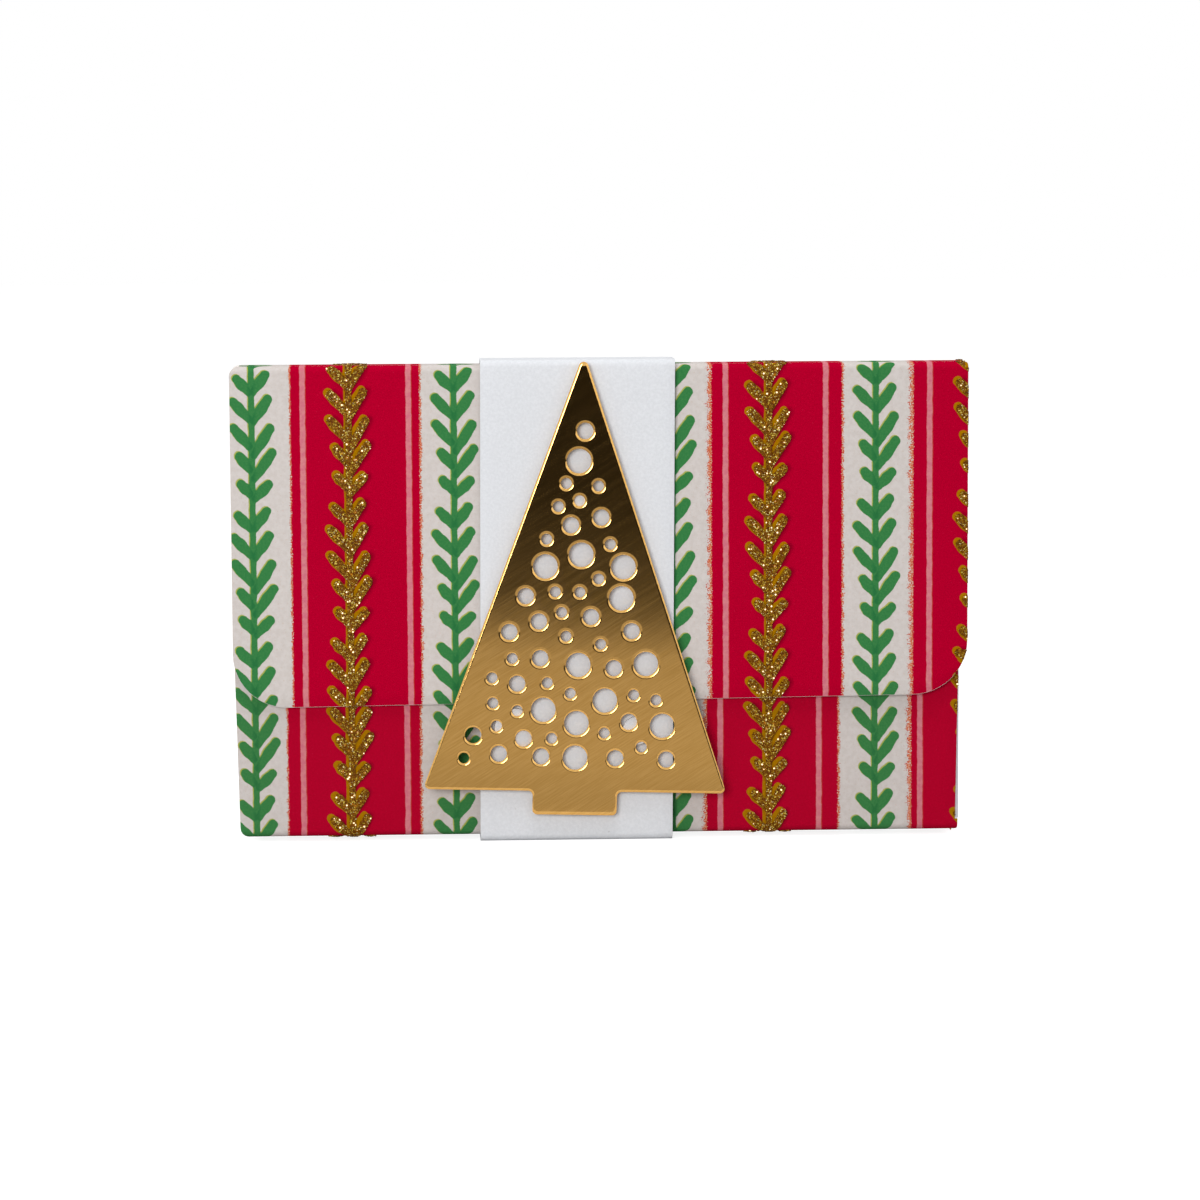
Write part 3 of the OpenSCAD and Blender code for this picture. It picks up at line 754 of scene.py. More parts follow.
def bend_bed(centre, side, thickness, along, ends, rise):
    """Glitter over the part of each gold garland that lies on a bend of the card."""
    cell = 0.16 * MM
    reach = 5 * MM
    turns = 9
    bed = bmesh.new()
    for number, stem in enumerate(GOLD_STEMS):
        found = {}
        for j in range(math.ceil(-reach / cell), math.ceil(reach / cell)):
            for k in range(turns):
                x = stem * MM + (j + 0.5) * cell
                if not ends[0] < x < ends[1]:
                    continue
                middle = bend_place(centre, side, (k + 0.5) / turns)
                up = along(*middle) / MM - rise * (number - 1)
                across = x / MM - stem
                if outside_garland(across / RIGHT_SHARE if across > 0 else across, up) > 0:
                    continue
                ring = []
                for a, b in ((j, k), (j + 1, k), (j + 1, k + 1), (j, k + 1)):
                    if (a, b) not in found:
                        y, z = bend_place(centre, side, b / turns)
                        found[a, b] = bed.verts.new((stem * MM + a * cell, y, z))
                    ring.append(found[a, b])
                bed.faces.new(ring)
    bmesh.ops.recalc_face_normals(bed, faces=bed.faces)
    away = Vector((0, side[0], side[1]))
    turned = [f for f in bed.faces if f.normal.dot(away) < 0]
    bmesh.ops.reverse_faces(bed, faces=turned)
    mesh = bpy.data.meshes.new("bend_bed")
    bed.to_mesh(mesh)
    bed.free()
    piece = new_piece("bend_bed", mesh)
    solid = piece.modifiers.new("layer", "SOLIDIFY")
    solid.thickness = thickness
    solid.offset = 1
    settle(piece)
    made = piece.data
    bpy.data.objects.remove(piece)
    return made


def bend_place(centre, side, share):
    """A place on a bend that turns from the front or back, at share 0, to the top or bottom."""
    angle = math.pi / 2 * share
    y = centre[0] + side[0] * CREASE_R * math.cos(angle)
    return y, centre[1] + side[1] * CREASE_R * math.sin(angle)


def bends_of(node):
    """The bends over which a layer of glitter runs on: each one's centre, the sides that it turns
    between, how far a place on it lies along the print, its ends and the garlands' rise."""

    def down_flap(y, z):
        return y - FLAP_Y - TOP_Z + z + FLAP_PHASE * MM

    def down_back(y, z):
        return y - FLAP_Y + TOP_Z - z + FLAP_PHASE * MM

    def up_pocket(y, z):
        return z - FOOT_Z - y + POCKET_Y - POCKET_PHASE * MM

    top, foot = TOP_Z - CREASE_R, FOOT_Z + CREASE_R
    flap, rear, pocket = FLAP_Y + CREASE_R, BACK_Y - CREASE_R, POCKET_Y + CREASE_R
    ends = (-HALF_W + 1.5 * MM, HALF_W - 0.5 * MM)
    low_ends = (LOW["bottom_gusset"].x + 1.5 * MM, HIGH["bottom_gusset"].x - 0.5 * MM)
    bends = {
        "flap_glitter": [((flap, top), (-1, 1), down_flap, ends, FLAP_RISE)],
        "spine_glitter": [((rear, top), (1, 1), down_back, ends, FLAP_RISE)],
        "bottom_glitter": [
            ((pocket, foot), (-1, -1), up_pocket, low_ends, 0.0),
            ((rear, foot), (1, -1), up_pocket, low_ends, 0.0),
        ],
    }
    return bends.get(node, [])


def glitter_bed(node, card, pressed):
    """The bed of a layer of glitter: the construction's, fitted to the garland and to the bowed
    card, and pressed down under the band, with what runs on over the bends."""
    mesh = NODES[node].data.copy()
    mesh.materials.clear()
    bed = bmesh.new()
    bed.from_mesh(mesh)
    bmesh.ops.remove_doubles(bed, verts=bed.verts, dist=0.001 * MM)
    middle = (LOW[node].y + HIGH[node].y) / 2
    for v in bed.verts:
        stem = min((x * MM for x in GOLD_STEMS), key=lambda x: abs(v.co.x - x))
        if v.co.x > stem:
            v.co.x = stem + (v.co.x - stem) * RIGHT_SHARE
        if node == "spine_glitter":
            v.co.z = TOP_Z + (v.co.z - TOP_Z) * SPINE_SHARE
        if node == "pocket_glitter":
            v.co.y += pocket_bow(v.co.x, v.co.z)
        if node == "flap_glitter":
            v.co.z = max(v.co.z, flap_edge(card, v.co.x) + card.edge)
            if LOW["band_front"].x < v.co.x < HIGH["band_front"].x and v.co.y < middle:
                v.co.y += pressed
            v.co.y -= flap_bow(v.co.x, v.co.z)
    layer = (HIGH["spine_glitter"].z - TOP_Z) * SPINE_SHARE
    for centre, side, along, ends, rise in bends_of(node):
        bed.from_mesh(bend_bed(centre, side, layer, along, ends, rise))
    bed.to_mesh(mesh)
    bed.free()
    return mesh


def glitter_tree():
    """Scatters tilted flakes over a bed of glitter."""
    tree, w, given, result = node_group(
        "glitter_flakes",
        "GeometryNodeTree",
        [
            ("Bed", "Geometry"),
            ("Outward", "Vector"),
            ("Flakes per square metre", "Float"),
            ("Flake radius", "Float"),
            ("Tilt", "Float"),
            ("Seed", "Int"),
            ("Finish", "Material"),
        ],
        [("Glitter", "Geometry")],
    )
    facing = w.vector("DOT_PRODUCT", w.add("GeometryNodeInputNormal").outputs[0], given["Outward"])
    spots = w.add(
        "GeometryNodeDistributePointsOnFaces",
        {
            "Mesh": given["Bed"],
            "Selection": w.math("GREATER_THAN", facing, -0.5),
            "Density": given["Flakes per square metre"],
            "Seed": given["Seed"],
        },
    )
    flake = w.add(
        "GeometryNodeMeshCone",
        {"Vertices": 4, "Radius Top": 0.0, "Radius Bottom": 1.0, "Depth": 0.25},
    )
    turned = w.add(
        "GeometryNodeTransform", {"Geometry": flake.outputs[0], "Rotation": (math.pi, 0, 0)}
    )

    def random(kind, low, high, offset):
        node = w.add("FunctionNodeRandomValue", data_type=kind)
        sockets = [s for s in node.inputs if s.enabled]
        w.feed(sockets[0], low)
        w.feed(sockets[1], high)
        w.feed(node.inputs["Seed"], w.math("ADD", given["Seed"], offset))
        return next(s for s in node.outputs if s.enabled)

    least = w.join(w.math("MULTIPLY", given["Tilt"], -1.0), w.math("MULTIPLY", given["Tilt"], -1.0))
    most = w.join(given["Tilt"], given["Tilt"], math.tau)
    lean = random("FLOAT_VECTOR", least, most, 11)
    way = w.add(
        "FunctionNodeRotateRotation",
        {"Rotation": spots.outputs["Rotation"], "Rotate By": lean},
        rotation_space="LOCAL",
    )
    size = w.math("MULTIPLY", given["Flake radius"], random("FLOAT", 0.6, 1.35, 23))
    flakes = w.add(
        "GeometryNodeInstanceOnPoints",
        {
            "Points": spots.outputs["Points"],
            "Instance": turned.outputs[0],
            "Rotation": way.outputs[0],
            "Scale": w.join(size, size, size),
        },
    )
    marked = w.add(
        "GeometryNodeStoreNamedAttribute",
        {"Geometry": flakes.outputs[0], "Name": "fleck", "Value": random("FLOAT", 0.1, 1.0, 37)},
        data_type="FLOAT",
        domain="INSTANCE",
    )
    real = w.add("GeometryNodeRealizeInstances", {"Geometry": marked.outputs[0]})
    both = w.add("GeometryNodeJoinGeometry")
    w.feed(both.inputs[0], real.outputs[0])
    w.feed(both.inputs[0], given["Bed"])
    finish = w.add(
        "GeometryNodeSetMaterial", {"Geometry": both.outputs[0], "Material": given["Finish"]}
    )
    w.feed(result.inputs[0], finish.outputs[0])
    return tree


def glitter_material():
    """Gold flakes on a bed of finer flakes, each with its own tone from dark brown to near white,
    partly the glitter's gold and partly painted reflection, and painted glints that glow.
    """
    made, w, shader = material("gold_glitter")
    fleck = w.add("ShaderNodeAttribute", attribute_name="fleck").outputs["Fac"]
    is_flake = w.math("GREATER_THAN", fleck, 0.05)
    place = object_place(w)
    cells = w.add("ShaderNodeTexVoronoi", {"Vector": place, "Scale": 6.5})
    painted_glint_spots = w.add("ShaderNodeTexVoronoi", {"Vector": place, "Scale": 1.15}).outputs["Distance"]
    own_tone = w.split(cells.outputs["Color"])[0]
    # Painted reflection: the tones run from dark brown to near white and stand for the dark and
    # light that each tilted flake would mirror
    tones_and_reflections = w.add("ShaderNodeValToRGB", {0: w.mix(is_flake, own_tone, fleck)})
    ramp = tones_and_reflections.color_ramp
    ramp.interpolation = "CONSTANT"
    steps = [
        (0.0, "542A00"),
        (0.2, "683900"),
        (0.42, "764402"),
        (0.62, "865606"),
        (0.78, "A27812"),
        (0.88, "C4A534"),
        (0.94, "EAD464"),
        (0.975, "FFF3B0"),
    ]
    for at, tone in steps[2:]:
        ramp.elements.new(at)
    for element, (at, tone) in zip(ramp.elements, steps):
        element.position = at
        element.color = colour(tone)
    # Painted glints: near-white spots that also glow, each with a painted orange halo round it
    painted_glint = w.ramp(painted_glint_spots, 0.12, 0.16, 1, 0)
    base = w.mix(w.ramp(painted_glint_spots, 0.16, 0.32, 0.8, 0), tones_and_reflections.outputs[0], colour("C47A0C"))
    base = w.mix(painted_glint, base, (1, 0.9, 0.55, 1))
    w.feed(shader.inputs["Base Color"], base)
    shader.inputs["Emission Color"].default_value = (1, 0.95, 0.7, 1)
    w.feed(shader.inputs["Emission Strength"], w.math("MULTIPLY", painted_glint, 0.8))
    shader.inputs["Roughness"].default_value = 0.35
    shader.inputs["Specular IOR Level"].default_value = 0.06
    bump(w, cells.outputs["Distance"], 0.00006, shader, 0.6)
    return made


# The tree ornament


def loops_of(mesh, level):
    """The closed loops of points round the flat face of a mesh at a level of y."""
    cut = bmesh.new()
    cut.from_mesh(mesh)
    bmesh.ops.remove_doubles(cut, verts=cut.verts, dist=0.001 * MM)
    flat = {f for f in cut.faces if all(abs(v.co.y - level) < 0.01 * MM for v in f.verts)}
    after = {}
    for face in flat:
        for loop in face.loops:
            if not any(other in flat for other in loop.edge.link_faces if other is not face):
                after.setdefault(loop.vert, []).append(loop.link_loop_next.vert)
    loops = []
    while after:
        start = next(iter(after))
        points, here = [], start
        while here in after:
            points.append(Vector((here.co.x, here.co.z)))
            here = after.pop(here)[0]
        loops.append(points)
    cut.free()
    return loops


def area_of(points):
    ring = np.array(points)
    following = np.roll(ring, -1, axis=0)
    return abs(np.sum(ring[:, 0] * following[:, 1] - following[:, 0] * ring[:, 1])) / 2


def divided(points, step):
    """A closed outline with its long sides divided into steps."""
    made = []
    for start, end in zip(points, points[1:] + points[:1]):
        count = max(1, round((end - start).length / step))
        made += [start.lerp(end, k / count) for k in range(count)]
    return made


def circle(centre, radius, count):
    angles = np.arange(count) * math.tau / count
    return centre + radius * np.stack([np.cos(angles), np.sin(angles)], axis=1)


def round_hole(points):
    """The centre and the radius of a hole, from the points round it."""
    ring = np.array(points)
    centre = np.mean(ring, axis=0)
    return centre, np.mean(np.linalg.norm(ring - centre, axis=1))


def inward_ways(outline):
    """The directions that point into the plate from the points of its outline."""
    sides = np.roll(outline, -1, axis=0) - outline
    sides /= np.linalg.norm(sides, axis=1)[:, None]
    ways = sides + np.roll(sides, 1, axis=0)
    ways /= np.linalg.norm(ways, axis=1)[:, None]
    inward = np.stack([-ways[:, 1], ways[:, 0]], axis=1)
    if area_of(outline + inward * 0.1 * MM) > area_of(outline):
        return -inward
    return inward


def edge_gap(points, outline, holes):
    """The distance from each point to the nearest edge of the plate."""
    span = np.roll(outline, -1, axis=0) - outline
    across = points[:, None, :] - outline[None]
    share = np.clip(np.sum(across * span, axis=2) / np.sum(span * span, axis=1), 0, 1)
    gap = np.linalg.norm(across - share[:, :, None] * span, axis=2).min(axis=1)
    centres = np.array([centre for centre, _ in holes])
    radii = np.array([radius for _, radius in holes])
    to_holes = np.linalg.norm(points[:, None, :] - centres[None], axis=2) - radii
    return np.minimum(gap, to_holes.min(axis=1))


def field_points(outline, pitch):
    """Points inside an outline, in rows that are set over by half a pitch."""
    low, high = outline.min(axis=0), outline.max(axis=0)
    across = np.arange(low[0], high[0], pitch)
    up = np.arange(low[1], high[1], pitch * 0.866)
    field = np.array([(x + (k % 2) * pitch / 2, z) for k, z in enumerate(up) for x in across])
    return field[inside_of(field, outline)]


def plate_mesh(name, rings):
    """A flat plate with the tree's outline and holes, with rows of points round every edge."""
    level = HIGH["tree_ornament"].y
    loops = sorted(loops_of(NODES["tree_ornament"].data, level), key=area_of, reverse=True)
    outline = np.array(divided(loops[0], 0.3 * MM))
    inward = inward_ways(outline)
    holes = [round_hole(points) for points in loops[1:]]
    counts = [30 if r < 1.0 * MM else 38 if r < 1.5 * MM else 46 for _, r in holes]
    points, edges = [], []

    def add_loop(loop):
        first = len(points)
        points.extend(loop.tolist())
        edges.extend((first + k, first + (k + 1) % len(loop)) for k in range(len(loop)))

    add_loop(outline)
    for (centre, radius), count in zip(holes, counts):
        add_loop(circle(centre, radius, count))
    for d in rings:
        rows = [outline + inward * d]
        rows += [circle(c, r + d, n) for (c, r), n in zip(holes, counts)]
        row = np.concatenate(rows)
        points.extend(row[edge_gap(row, outline, holes) > d - 0.004 * MM].tolist())
    field = field_points(outline, 0.9 * MM)
    field = field[edge_gap(field, outline, holes) > rings[-1] + 0.25 * MM]
    points.extend(field.tolist())

    # The points are joined in millimetres, and faces in the holes are left out
    scale = 1 / MM
    flat = [Vector((x * scale, z * scale)) for x, z in points]
    verts, _, faces, _, _, _ = delaunay_2d_cdt(flat, edges, [], 1, 0.0001)
    verts = np.array(verts) * MM
    middles = verts[np.array(faces)].mean(axis=1)
    solid = inside_of(middles, outline) & (edge_gap(middles, outline, holes) > 0)
    mesh = bpy.data.meshes.new(name)
    kept = [tuple(f) for f, keep in zip(faces, solid) if keep]
    mesh.from_pydata([(x, level, z) for x, z in verts], [], kept)
    mesh.validate()
    face_front(mesh)
    return mesh


def face_front(mesh):
    """Drops a flat mesh's loose points and turns its faces to the front."""
    plate = bmesh.new()
    plate.from_mesh(mesh)
    bmesh.ops.delete(plate, geom=[v for v in plate.verts if not v.link_faces], context="VERTS")
    bmesh.ops.recalc_face_normals(plate, faces=plate.faces)
    if sum(f.normal.y * f.calc_area() for f in plate.faces) > 0:
        bmesh.ops.reverse_faces(plate, faces=plate.faces)
    plate.to_mesh(mesh)
    plate.free()


def inside_of(points, outline):
    """Which points lie inside a closed outline."""
    x, z = points[:, 0:1], points[:, 1:2]
    x0, z0 = outline[:, 0], outline[:, 1]
    x1, z1 = np.roll(x0, -1), np.roll(z0, -1)
    spans = (z0 > z) != (z1 > z)
    with np.errstate(divide="ignore", invalid="ignore"):
        cross = x < (x1 - x0) * (z - z0) / (z1 - z0) + x0
    return np.sum(spans & cross, axis=1) % 2 == 1


def rounded_tree():
    """Gives a flat plate its thickness, and rounds it back at its outline and at every hole."""
    tree, w, given, result = node_group(
        "rounded_edges",
        "GeometryNodeTree",
        [
            ("Plate", "Geometry"),
            ("Thickness", "Float"),
            ("Rounding depth", "Float"),
            ("Rounding width", "Float"),
            ("Waviness", "Float"),
            ("Finish", "Material"),
        ],
        [("Tree", "Geometry")],
    )
    neighbours = w.add("GeometryNodeInputMeshEdgeNeighbors").outputs[0]
    open_edges = w.add(
        "GeometryNodeSeparateGeometry",
        {"Geometry": given["Plate"], "Selection": w.math("LESS_THAN", neighbours, 1.5)},
        domain="EDGE",
    )
    place = w.add("GeometryNodeInputPosition").outputs[0]
    near = w.add(
        "GeometryNodeProximity",
        {"Geometry": open_edges.outputs[0], "Sample Position": place},
        target_element="EDGES",
    )
    share = w.math("DIVIDE", near.outputs["Distance"], given["Rounding width"])
    profile = w.add("ShaderNodeFloatCurve", {"Value": share})
    points = profile.mapping.curves[0].points
    shape = [(at, 1 - (1 - at) ** 2.3) for at in (0.0, 0.12, 0.28, 0.45, 0.65, 0.85, 1.0)]
    for at, height in shape[1:-1]:
        points.new(at, height)
    points[0].location = shape[0]
    points[len(shape) - 1].location = shape[-1]
    profile.mapping.update()
    swell = w.add("ShaderNodeTexNoise", {"Vector": place, "Scale": 42.0, "Detail": 1.0}).outputs[0]
    wave = w.math("MULTIPLY", w.math("SUBTRACT", swell, 0.5), given["Waviness"])
    rise = w.math("MULTIPLY", profile.outputs[0], given["Rounding depth"])
    forward = w.math("ADD", w.math("ADD", rise, wave), given["Thickness"])
    raised = w.add(
        "GeometryNodeExtrudeMesh",
        {
            "Mesh": given["Plate"],
            "Offset": w.join(0.0, w.math("MULTIPLY", forward, -1.0), 0.0),
            "Individual": False,
        },
        mode="FACES",
    )
    back = w.add("GeometryNodeFlipFaces", {"Mesh": given["Plate"]})
    both = w.add("GeometryNodeJoinGeometry")
    w.feed(both.inputs[0], raised.outputs[0])
    w.feed(both.inputs[0], back.outputs[0])
    closed = w.add(
        "GeometryNodeMergeByDistance", {"Geometry": both.outputs[0], "Distance": 0.0005 * MM}
    )
    finish = w.add(
        "GeometryNodeSetMaterial", {"Geometry": closed.outputs[0], "Material": given["Finish"]}
    )
    w.feed(result.inputs[0], finish.outputs[0])
    return tree


def gold_material(tone):
    """Polished gold sheet with fine diagonal brush lines, a few scratches and faint stains."""
    made, w, shader = material("polished_gold")
    place = object_place(w)
    turned = w.add("ShaderNodeMapping", {"Vector": place, "Rotation": (0, math.radians(32), 0)})
    fine = w.add("ShaderNodeMapping", {"Vector": turned.outputs[0], "Scale": (0.25, 1, 8.5)})
    coarse = w.add("ShaderNodeMapping", {"Vector": turned.outputs[0], "Scale": (0.05, 1, 1.3)})
    lines = w.noise(fine.outputs[0], 1.0, 3.0, 0.6)
    streaks = w.noise(coarse.outputs[0], 1.0, 2.0, 0.6)
    stains = w.noise(place, 0.25, 3.0, 0.6)
    base = w.mix(w.ramp(lines, 0.3, 0.7, 0.0, 1.0), tone.gold_deep, tone.gold)
    base = w.mix(w.ramp(stains, 0.55, 0.8, 0.0, 0.3), base, tone.gold_deep)
    w.feed(shader.inputs["Base Color"], base)
    shader.inputs["Metallic"].default_value = 1.0
    w.feed(shader.inputs["Roughness"], w.ramp(streaks, 0.3, 0.7, 0.05, 0.10))
    height = w.math("ADD", lines, w.math("MULTIPLY", streaks, 2.0))
    bump(w, height, 0.0000012, shader, 0.5)
    return made


# The foam pads


def pad_mesh(node, share):
    """A round pad in a node's place, at a share of its radius, pressed in at its rims."""
    low, high = LOW[node], HIGH[node]
    centre = (low + high) / 2
    radius, thick = share * (high.x - low.x) / 2, high.y - low.y
    count = 48
    pad = bmesh.new()
    rings = []
    for depth, bulge in ((0, 0.94), (0.1, 0.985), (0.5, 1.0), (0.9, 0.985), (1, 0.94)):
        ring = []
        for k in range(count):
            angle = math.tau * k / count
            x = centre.x + radius * bulge * math.cos(angle)
            z = centre.z + radius * bulge * math.sin(angle)
            ring.append(pad.verts.new((x, low.y + thick * depth, z)))
        rings.append(ring)
    for ring, after in zip(rings, rings[1:]):
        for k in range(count):
            j = (k + 1) % count
            pad.faces.new((ring[k], ring[j], after[j], after[k]))
    pad.faces.new(rings[0])
    pad.faces.new(rings[-1])
    bmesh.ops.recalc_face_normals(pad, faces=pad.faces)
    mesh = bpy.data.meshes.new(node)
    pad.to_mesh(mesh)
    pad.free()
    return mesh


# Settings


def tint(name, description, hex_code):
    """A colour setting."""
    return FloatVectorProperty(
        name=name,
        description=description,
        default=colour(hex_code),
        size=4,
        min=0.0,
        max=1.0,
        subtype="COLOR",
    )


def length(name, description, metres):
    """A length setting."""
    return FloatProperty(
        name=name,
        description=description,
        default=metres,
        precision=5,
        unit="LENGTH",
        subtype="DISTANCE",
    )


def turn(name, description, degrees):
    """An angle setting."""
    return FloatProperty(
        name=name,
        description=description,
        default=math.radians(degrees),
        unit="ROTATION",
        subtype="ANGLE",
    )


def power(name, description, watts):
    """A setting of a lamp's power."""
    return FloatProperty(name=name, description=description, default=watts, unit="POWER")


class PrintSettings(bpy.types.PropertyGroup):
    """The inks of the print and the shape of the folded card."""

    cream: tint("Cream", "Colour of the bare stripes", "D5CECA")
    cream_tint: tint("Cream tint", "Second tone of the bare stripes", "CEC6C1")
    red: tint("Red", "Colour of the wide stripes", "AF0028")
    red_tint: tint("Red tint", "Second tone of the wide stripes", "B8002C")
    pink: tint("Pink", "Colour of the narrow stripes", "CE7080")
    pink_tint: tint("Pink tint", "Second tone of the narrow stripes", "D58488")
    green: tint("Green", "Colour of the leaves", "337A43")
    green_tint: tint("Green tint", "Second tone of the leaves", "3F8349")
    green_deep: tint("Deep green", "Where leaves overlap their stem", "236D3C")
    ochre: tint("Ochre", "Print below the glitter", "AE7A02")
    ochre_tint: tint("Ochre tint", "Second tone below the glitter", "A47000")
    dry_edge: FloatProperty(
        name="Dry edge", description="Width of the stripes' ragged edges in millimetres", default=1.3
    )
    flap_corner: length("Flap corner", "Radius of the flap's lower corners", 0.008)
    flap_lift: length("Flap lift", "How much shorter the flap is than in the construction", 0.00015)
    flap_slant: length("Flap slant", "How much higher the flap's edge ends at the right", 0.0012)
    left_wear: length("Left wear", "Radius to which the left ends of the creases are worn", 0.0014)
    right_wear: length("Right wear", "Radius at the right ends of the creases", 0.0004)
    foot_flare: length("Foot flare", "How far the sheet stands out at the right below", 0.0004)
    edge: length("Eased edge", "Width to which cut edges of card are eased", 0.00006)


class GlitterSettings(bpy.types.PropertyGroup):
    """The glitter on the gold garlands."""

    density: FloatProperty(
        name="Density", description="Flakes on each square millimetre", default=40.0, min=1.0
    )
    radius: length("Flake radius", "Mean radius of a flake", 0.0001)
    tilt: turn("Tilt", "The most that a flake leans out of the card's plane", 38)
    seed: IntProperty(name="Seed", description="Start of the random draws", default=7)
    pressed: length("Pressed", "How far the band presses the glitter under it down", 0.000135)


class BandSettings(bpy.types.PropertyGroup):
    """The paper belly band."""

    bend: length("Bend", "Outside radius of the band's bends", 0.00105)
    bow: length("Bow", "How far the band's front bows inwards between its bends", 0.00012)
    edge: length("Eased edge", "Width to which the band's cut edges are eased", 0.00003)
    lean: length("Lean", "How far to the left the band's foot stands", 0.00048)
    narrowing: length("Narrowing", "How much narrower the band is at its foot", 0.0001)


class TreeSettings(bpy.types.PropertyGroup):
    """The gold tree ornament."""

    gold: tint("Gold", "Colour of the polished metal", "E8B76C")
    gold_deep: tint("Deep gold", "Colour in the brush lines and stains", "D7A65A")
    rounding_depth: length("Rounding depth", "How far every edge is rounded back", 0.00016)
    rounding_width: length("Rounding width", "Distance from an edge at which it ends", 0.00042)
    thickness: length("Thickness", "Thickness of the sheet metal at its edges", 0.00036)
    waviness: length("Waviness", "Unevenness of the plate", 0.00003)


class StageSettings(bpy.types.PropertyGroup):
    """The camera and the studio."""

    camera_place: FloatVectorProperty(
        name="Camera",
        description="Where the camera stands",
        default=(-0.0261, -0.5986, 0.0982),
        precision=4,
        subtype="TRANSLATION",
    )
    yaw: turn("Yaw", "How far the camera looks to the right", 2.49)
    pitch: turn("Pitch", "How far the camera looks down", 6.0)
    roll: turn("Roll", "Turn of the camera about its own line of sight", -0.28)
    lens: FloatProperty(name="Lens", description="Focal length in millimetres", default=122.7)
    key: power("Key light", "Power of the lamp at the upper left", 2.3)
    top: power("Top light", "Power of the lamp overhead", 2.5)
    fill: power("Fill light", "Power of the lamp at the right", 0.4)
    side: power("Side lights", "Power of each of the two lamps beside the holder", 2.5)
    sky: FloatProperty(name="Sky", description="Strength of the light from all round", default=0.35)


# Operators


def settings():
    return bpy.context.scene.card_holder


class HolderFoldCard(bpy.types.Operator):
    """Fold the printed card into the sleeve and its flap"""

    bl_idname = "holder.fold_card"
    bl_label = "Fold the printed card"

    def execute(self, context):
        card = settings().card
        finishes = [
            printed_material(card),
            paper_material("cut_edge", "EFEBE8", "DDD5D0", 6.0),
            paper_material("card_inside", "E9E6E2", "DEDAD5"),
        ]
        # The sleeve's rows are turned round, so that its faces point outwards
        sleeve = [[row[::-1] for row in part] for part in sleeve_grid(card)]
        sleeve_panels = ["back_panel", "top_spine", "bottom_gusset", "pocket_panel"]
        for name, body, (grid, prints), replaced in (
            ("flap_sheet", "flap", flap_grid(card), ["front_flap"]),
            ("sleeve_sheet", "sleeve", sleeve, sleeve_panels),
        ):
            piece = sheet_piece(name, grid, CARD_T, card.edge, finishes, prints)
            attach(piece, body)
            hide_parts(*replaced)
        return {"FINISHED"}


class HolderPlainCard(bpy.types.Operator):
    """Finish the plain gussets and glue tabs, and the strips of tape"""

    bl_idname = "holder.plain_card"
    bl_label = "Finish the plain card and tape"

    def execute(self, context):
        plain = paper_material("plain_card", "E6E4EA", "D9D6DC")
        tape = tape_material()
        for name, node in NODES.items():
            if name.endswith(("_gusset", "_glue_tab")) and not node.hide_render:
                finish = plain
            elif name.endswith("_tape"):
                finish = tape
            else:
                continue
            node.data.materials.clear()
            node.data.materials.append(finish)
        return {"FINISHED"}


class HolderGlitter(bpy.types.Operator):
    """Scatter glitter over every raised garland"""

    bl_idname = "holder.glitter"
    bl_label = "Scatter the glitter"

    def execute(self, context):
        card, glitter = settings().card, settings().glitter
        tree = glitter_tree()
        finish = glitter_material()
        layers = (
            ("flap_glitter", (0, -1, 0), "flap"),
            ("spine_glitter", (0, 0, 1), "sleeve"),
            ("back_glitter", (0, 1, 0), "sleeve"),
            ("bottom_glitter", (0, 0, -1), "sleeve"),
            ("pocket_glitter", (0, -1, 0), "sleeve"),
        )
        for k, (node, outward, body) in enumerate(layers):
            piece = new_piece("scattered_" + node, glitter_bed(node, card, glitter.pressed))
            values = {
                "Outward": outward,
                "Flakes per square metre": glitter.density * 1e6,
                "Flake radius": glitter.radius,
                "Tilt": glitter.tilt,
                "Seed": glitter.seed + k,
                "Finish": finish,
            }
            grow(piece, tree, values)
            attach(piece, body)
            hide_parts(node)
        return {"FINISHED"}


class HolderBellyBand(bpy.types.Operator):
    """Wrap the paper belly band round the sleeve"""

    bl_idname = "holder.belly_band"
    bl_label = "Wrap the belly band"

    def execute(self, context):
        band = settings().band
        front = LOW["band_front"].y
        inner = HIGH["band_back_inner_ply"].y
        outer = HIGH["band_back_outer_ply"].y
        foot = LOW["band_bottom"].z
        top = HIGH["band_top"].z
        left, right = LOW["band_front"].x, HIGH["band_front"].x
        corners = [
            (inner, HIGH["band_back_inner_ply"].z),
            (inner, foot),
            (front, foot),
            (front, top),
            (outer, top),
            (outer, LOW["band_back_outer_ply"].z),
        ]
        lengths, points = bent_path(corners, band.bend)
        middle, half = (top + foot) / 2, (top - foot) / 2
        grid = []
        for run in rows_along(lengths, 4 * MM):
            y = np.interp(run, lengths, points[:, 0])
            z = np.interp(run, lengths, points[:, 1])
            if y < front + band.bow:
                y += band.bow * (1 - ((z - middle) / half) ** 2)
            low = 1 - (z - foot) / (top - foot)
            first, last = left - band.lean * low, right - (band.lean + band.narrowing) * low
            grid.append([(first + (last - first) * k / 16, y, z) for k in range(17)])
        paper = paper_material("band_paper", "E4E6EA", "DADCE0")
        thickness = HIGH["band_front"].y - front
        piece = sheet_piece("band_strip", grid, thickness, band.edge, [paper])
        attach(piece, "belly_band")
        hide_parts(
            "band_front",
            "band_top",
            "band_bottom",
            "band_back_inner_ply",
            "band_back_outer_ply",
        )
        return {"FINISHED"}


